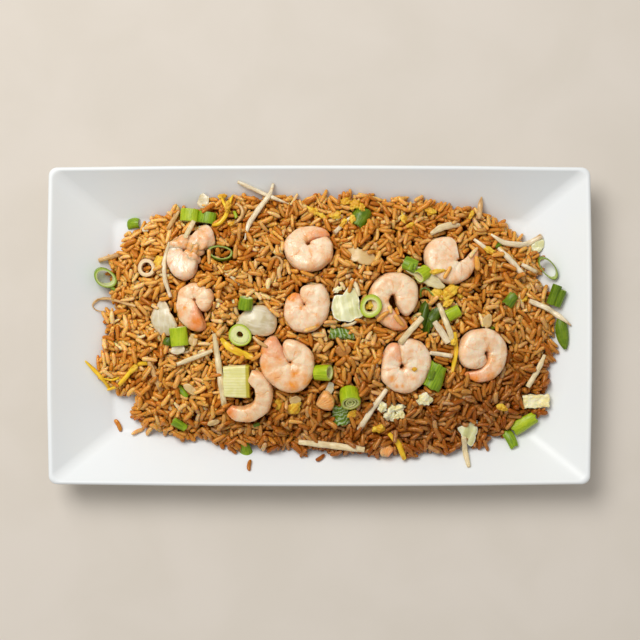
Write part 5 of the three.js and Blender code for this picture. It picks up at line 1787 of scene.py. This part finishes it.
# %% [markdown]
# ## Egg crumbs and scraps
# The egg also broke into crumbs, each a ball pushed about by noise and flattened. A scrap of green leaf is
# a short slit tube, made as the slit leaves were. A scrap of onion or cabbage is a round patch, bent and
# given a thickness. Each lies on the map of heights.

# %% Crumbs and scraps
# Place, length, width and height in millimetres, and direction in degrees.
EGG_CRUMBS = [
    (-89.7, 36.4, 6, 4.6, 1.8, 60), (28.2, 11.4, 5, 3.4, 1.8, 30), (-54.6, 73.2, 5, 2.6, 1.8, 10),
    (-51.8, 67.1, 5.6, 3.4, 2, 70), (-49, 57.6, 4, 2.4, 1.6, 20), (-3.3, 64.3, 7.4, 3.4, 2, 150),
    (1.7, 61.5, 4.6, 2.6, 1.8, 140), (8.9, 62, 6.4, 4, 2.2, 20), (13.4, 57.6, 5.2, 3, 2, 60),
    (14.5, 69.9, 5.2, 4, 2.2, 0), (20.1, 68.2, 6.4, 4.6, 2.6, 30), (24, 66.5, 4.4, 3, 2, 100),
    (47.4, 60.4, 5.4, 2.8, 2, 110), (51.3, 56.5, 5.6, 2.8, 2, 20), (62.4, 64.8, 6.4, 3.6, 2.2, 160),
    (72.6, 18.8, 9, 6, 3, 40), (78.6, 17.5, 4.2, 3, 2, 120), (66.6, 17.6, 9, 5, 2.6, 150),
    (71.4, 13, 5, 3.4, 2.2, 30), (95.4, 42.6, 6.4, 3.6, 2, -30), (66, 30.4, 9, 2.6, 1.8, 8),
    (18.6, 60.2, 4.4, 3.2, 1.8, 80), (-62, 0.5, 4, 2.6, 1.6, 20), (33.5, -57.5, 7, 4.2, 2.6, 10),
    (52.8, -24, 3, 2, 1.2, 0), (18.4, -49.6, 6, 3.2, 1.8, 30), (86, 63, 5, 2.4, 1.8, 70),
    (-104, -24, 5, 3, 2, 40), (74.5, -9, 4, 2.4, 1.6, 80), (102.6, -46, 6, 3.6, 2.2, -20),
    (-28, 60, 4.4, 2.6, 1.6, 50), (115.9, 15.2, 4.6, 3, 2.2, 20), (-14.4, -46.4, 8.6, 6, 2.2, 40),
    (-23.2, -44, 7, 3.6, 2, 100),
]
EGG_WHITES = [(58.4, -41.2, 7.6, 7, 2.2, 20), (35, -45, 6.4, 4.6, 2.2, 100), (10, 20, 5, 3, 1.8, 30)]
SCRAPS = [
    (-105.8, 58.2, 7, 6.6, 0, "green"), (-84.6, -8.7, 4.4, 5.6, 80, "dark"),
    (-79.1, -55.5, 8.6, 6, -34, "green"), (-35.1, -55.5, 3.6, 2.8, 30, "deep"),
    (107, 14.1, 8, 7, 50, "deep"), (-77.4, -37, 8.4, 5, -50, "green"), (-118, 21.6, 5.2, 2.2, -30, "deep"),
    (101, 45.4, 4.6, 2.6, 30, "deep"), (50.5, 32.6, 4.4, 3, 70, "green"), (97.4, -1, 3.4, 2, 20, "green"),
    (-47.4, 62.6, 4, 2, 110, "lime"), (62, -27, 5.4, 4, 70, "deep"), (-42.2, -69.4, 9.8, 8, 100, "green"),
    (-65.6, 70.6, 8.4, 7, 60, "onion"), (-78.8, -13.2, 8.4, 5.6, 10, "onion"),
    (-70.4, -8, 7, 5.4, 80, "fried"), (-59.6, -54.4, 7.4, 3.6, 20, "fried"),
    (124.2, 45.6, 9, 6.6, 60, "cabbage"), (13.4, -13.6, 8.6, 7, 30, "amber"),
    (94, 2.6, 8.4, 5.4, 75, "fried"), (5.8, -34.6, 8, 4.6, 78, "onion"),
    (-72.4, -35.4, 9, 4.6, -40, "fried"), (-13.7, -41.6, 7, 5, 20, "fried"),
    (-98.6, 54.8, 4.6, 4.2, 10, "onion"),
]
SCRAP_WALL = 0.8
SCRAP_ARC, SCRAP_ROLL = 130, 1.1  # a green scrap is this much of a tube, this many times as wide as the scrap


def lay_patch(piece, heights, x, y, long, wide, tall, yaw):
    """Scales a small piece of size 1, turns it, and lays it on the map, tipped to the heap's slope."""
    set_points(piece, points_of(piece) * (long, wide, tall))
    turn = Matrix.Rotation(math.radians(yaw), 3, "Z")
    piece.rotation_euler = (tip_at(x, y).to_matrix() @ turn).to_euler()
    z = height_under(heights, x, y, min(long, wide) / 2)
    piece.location = Vector((x, y, z + tall * 0.3)) * MM
    apply_place(piece)


def add_scrap(seed):
    """A round bent patch of size 1."""
    scrap = begin(bpy.ops.mesh.primitive_grid_add, x_subdivisions=10, y_subdivisions=8, size=1 * MM)

    def bent(points):
        x, y = points[:, 0], points[:, 1]
        ragged = noise_over(x * 3, y * 3, seed)
        return np.column_stack([x * np.sqrt(1 - 2 * y**2) * (1 + 0.25 * ragged),
                                y * np.sqrt(1 - 2 * x**2) + 0.1 * ragged,
                                0.4 * (0.9 - 2.6 * y**2) + 0.5 * ragged])

    reshape(scrap, bent)
    return scrap


for number, (x, y, long, wide, tall, yaw) in enumerate(EGG_CRUMBS + EGG_WHITES):
    crumb = add_crumb(number * 1.7)
    store(crumb, "own_place", points_of(crumb) * (long, wide, tall) + 31 * number)
    lay_patch(crumb, to_lie_on(heights), x, y, long, wide, tall, yaw)
    finish(crumb, f"egg_crumb_{number + 1}", "egg", EGG_YELLOW if number < len(EGG_CRUMBS) else EGG)
    heights = keep_in_sight(crumb, heights)
for number, (x, y, long, wide, yaw, tone) in enumerate(SCRAPS):
    if tone in ONION_FINISHES:
        slot, material = "spring_onion", ONION_FINISHES[tone]
        scrap = slit_leaf(wide * SCRAP_ROLL, SCRAP_ARC, long, SCRAP_WALL, number + 20)
        points = points_of(scrap)
        set_points(scrap, points - (0, 0, points[:, 2].min()))
        lay_patch(scrap, to_lie_on(heights), x, y, 1, 1, 1, yaw)
    else:
        slot, material = PATCH_KINDS[tone]
        scrap = add_scrap(number)
        lay_patch(scrap, to_lie_on(heights), x, y, long, wide, 1, yaw)
        apply_modifier(scrap, "SOLIDIFY", thickness=SCRAP_WALL * MM, offset=0)
        subdivide_surface(scrap, 1)
        remember_place(scrap)
        store(scrap, "rim", np.full(len(scrap.data.vertices), 0.9))
    finish(scrap, f"{slot}_scrap_{number + 1}", slot, material)
    heights = keep_in_sight(scrap, heights)
print("egg crumbs:", len(EGG_CRUMBS), "scraps:", len(SCRAPS))

# %% [markdown]
# A few grains lie on top of the rest: between the strands and scraps, on a prawn's edge, in the middle of a
# curl, and loose on the platter where they fell off the spoon.

# %% Last grains
LOOSE_GRAINS = [(-114.8, -56.8), (-103.8, -60.3), (-97, -60), (-39.6, -78.6), (0.6, -74.6)]
GRAINS_ON_PRAWNS = [
    (39, 9, -80), (43, 8, -70), (35, 5.4, 40), (44, 3, -50), (71, 29.6, 60), (86, 41, 50), (88, 35, 100),
    (-66, 28, 10), (-62.4, 32, -20), (-64, 24.5, 30), (-5, -1.6, 20),
]
ON_TOP = 2.2  # how far over the rest the last grains may reach
on_top = np.where(in_heap & ~covered & ~kept_in_sight, heights + ON_TOP, FAR_BELOW)
grains += fill(heights, on_top, no_ceiling, rng, most=420, slack=0.6, tries=3)
for x, y, yaw in [(x, y, 57 * x) for x, y in LOOSE_GRAINS] + GRAINS_ON_PRAWNS:
    length, width = grain_size(rng)
    middle, tilt, _ = rest_grain(heights, no_ceiling, np.array([x]), np.array([y]), np.radians([yaw]),
                                 length, width)
    grain = (x, y, float(middle[0]) - SINK, math.radians(yaw), float(tilt[0]), length, width)
    raise_map(heights, grain)
    grains.append(grain)
print("grains in all:", len(grains))

# %% [markdown]
# Sticky rice shows no deep gaps: starch and sauce fill what lies between the grains. So the core is raised
# now to just under the grains that were laid, from a blurred map of their tops. Cells under the toppings
# are left out of the blur, and there the core stays under their undersides.

# %% Raising the core between the grains
BED_DEPTH = 0.9  # how far the core lies under the mean height of the grains' tops
BLUR_CELLS = 5


def blurred(values):
    kernel = np.hanning(2 * BLUR_CELLS + 3)[1:-1]
    kernel /= kernel.sum()
    for axis in (0, 1):
        values = np.apply_along_axis(np.convolve, axis, values, kernel, mode="same")
    return values


rice_top = bare.copy()
for grain in grains:
    raise_map(rice_top, grain)
known = (in_heap & ~covered).astype(float)
known_nearby = blurred(known)
level = blurred(rice_top * known) / np.maximum(known_nearby, 0.01)
bed = np.where(known_nearby > 0.05, level - BED_DEPTH, surface - CORE_DEPTH)
bed = np.minimum(bed, under_map - 0.5)


def raised(points):
    on_platter = platter_surface(points[:, 0], points[:, 1])
    row, column = cells_at(points[:, 0], points[:, 1])
    upper = points[:, 2] > on_platter + 0.45
    points[:, 2] = np.where(upper, np.maximum(on_platter + 0.5, bed[row, column]), points[:, 2])
    return points


reshape(core, raised)
finish(core, "rice_core", "rice", sauce.material, "fried_rice", smooth=80)
print("core raised, highest point in mm:", round(float(points_of(core)[:, 2].max()), 1))

# %% [markdown]
# ## Grains as meshes
# Each grain's points are the points of one kind, stretched to its length and width, rolled about its own
# length and turned to its tilt and direction. All grains of one tone are joined into a single mesh. Four
# values travel with the points: the grain's tone, how brown it is from sauce and frying together with painted
# shade towards the front right, how high on its grain each point is, and where in its grain.

# %% Joining grains
def grain_points(grain, kind, roll):
    """The points of one grain, in millimetres, and their places in the grain itself."""
    x, y, z, yaw, tilt, length, width = grain
    own = GRAIN_KINDS[kind][0] * (length / 2, width / 2, width / 2)
    along, side, up = own.T
    side, up = turned(side, up, roll)
    along, up = turned(along, up, tilt)
    along, side = turned(along, side, yaw)
    return np.column_stack([along, side, up]) + (x, y, z), own


def browned_and_shaded_share(x, y):
    """How brown the rice is at a place: browned in drifting patches, with painted shade that darkens the
    front right, away from the lamp, and painted light that pales the left, towards it.
    """
    # Painted shade and painted light: browner towards the front right corner, paler to the left. The drift is
    # real browning in patches.
    painted_shade_towards_corner = np.clip(0.36 * (x - 10) / 110 + 0.72 * (-y - 18) / 56, 0, 1)
    painted_light_leftwards = np.clip(-(x + 30) / 90, 0, 1)
    drift = 0.5 + 0.5 * wave(x, 17, y, 21) * np.sin(y / 13 + 0.8)
    return np.clip(1.16 * painted_shade_towards_corner + 0.26 * drift + 0.07 - 0.19 * painted_light_leftwards, 0, 1)


def join_grains(name, grains, tones, rng):
    """One mesh of all these grains."""
    mesh = bpy.data.meshes.new(name)
    points, faces, places, shades, browns_and_painted_shade, tops, first = [], [], [], [], [], [], 0
    for grain, tone in zip(grains, tones):
        kind = int(rng.integers(len(GRAIN_KINDS)))
        spots, own = grain_points(grain, kind, rng.uniform(-0.8, 0.8))
        points.append(spots)
        places.append(own + rng.uniform(0, 500))
        x, y, z, _, tilt, _, width = grain
        level = z + np.tan(tilt) * np.hypot(spots[:, 0] - x, spots[:, 1] - y) * np.sign(own[:, 0])
        tops.append((spots[:, 2] - level) / (width / 2))
        shades.append(np.full(len(spots), tone))
        # This brown holds painted shade towards the front right as well as browning from sauce.
        browned = browned_and_shaded_share(x, y) + rng.normal(0, 0.1)
        browns_and_painted_shade.append(np.full(len(spots), min(1.0, max(0.0, browned))))
        faces += [tuple(first + corner for corner in face) for face in GRAIN_KINDS[kind][1]]
        first += len(spots)
    mesh.from_pydata(np.concatenate(points) * MM, [], faces)
    piece = bpy.data.objects.new(name, mesh)
    bpy.context.scene.collection.objects.link(piece)
    for attribute, values in (("own_place", places), ("tone", shades), ("browned", browns_and_painted_shade), ("top", tops)):
        store(piece, attribute, np.concatenate(values))
    return piece


# %% Finish of the rice
def rice_finish(name, darkest, middle, palest):
    grain = Finish(name, own_place=True, Subsurface_Weight=0.8, Subsurface_Scale=1.8 * MM,
                   Subsurface_Radius=(1.0, 0.5, 0.16), Specular_IOR_Level=0.5, Specular_Tint=WARM_GLOSS)
    uneven = grain.patches(2.4)
    tone = grain.attribute("tone")
    value = grain.plus(grain.times(tone, 0.65), grain.times(uneven, 0.35))
    plain = grain.ramp(value, (0.0, darkest), (0.5, middle), (1.0, palest))
    # Painted shade, partly real: each grain's lower side is painted darker brown, partly for sauce gathered
    # where grains touch and partly for the shade under the grain.
    side = grain.between(grain.attribute("top"), 0.6, -0.6)
    dipped_and_shaded = grain.mix(grain.times(side, 0.6), plain, (172, 92, 10))
    # The browned attribute holds browning from sauce and painted shade towards the front right; where it is
    # high, the grain is painted dark brown.
    soaked = grain.plus(0.6, grain.times(uneven, 0.3))
    sauced_and_shaded = grain.times(grain.attribute("browned"), soaked)
    grain.colour(grain.mix(sauced_and_shaded, dipped_and_shaded, (132, 58, 4)))
    grain.roughness(grain.patches(1.4), 0.18, 0.32)
    grain.relief(grain.patches(1.6, 0.2, 0.8), 0.05)
    return grain.material


RICE_TONES = {
    "rice_brown": rice_finish("browned_rice", (178, 100, 18), (204, 130, 40), (220, 154, 68)),
    "rice_amber": rice_finish("amber_rice", (200, 124, 30), (222, 152, 56), (234, 178, 90)),
    "rice_golden": rice_finish("golden_rice", (214, 144, 48), (232, 170, 78), (242, 196, 114)),
    "rice_tan": rice_finish("tan_rice", (222, 160, 74), (238, 186, 106), (248, 212, 146)),
    "rice_pale": rice_finish("pale_rice", (234, 186, 104), (246, 208, 142), (252, 228, 178)),
}
KIND_LIMITS = (0.16, 0.43, 0.74, 0.95)  # shares of the grains up to which each tone goes, browned first


def neighbourly(grains, rng):
    """A rank from 0 to 1 for each grain, much alike in neighbours, because sauce spreads in clusters."""
    x, y = np.array([grain[:2] for grain in grains]).T
    cluster = wave(x, 4.1, y, 6.7) * wave(y, 4.7, x, 7.9)
    value = cluster + rng.normal(0, 0.7, len(grains))
    return value.argsort().argsort() / len(grains)


tones = rng.random(len(grains))
kinds = np.searchsorted(KIND_LIMITS, neighbourly(grains, rng))
for number, (name, material) in enumerate(RICE_TONES.items()):
    mine = [grain for grain, kind in zip(grains, kinds) if kind == number]
    piece = join_grains(name, mine, tones[kinds == number], rng)
    finish(piece, name, "rice", material, "fried_rice", smooth=120)
    print(name, len(mine), "grains", len(piece.data.polygons), "faces")
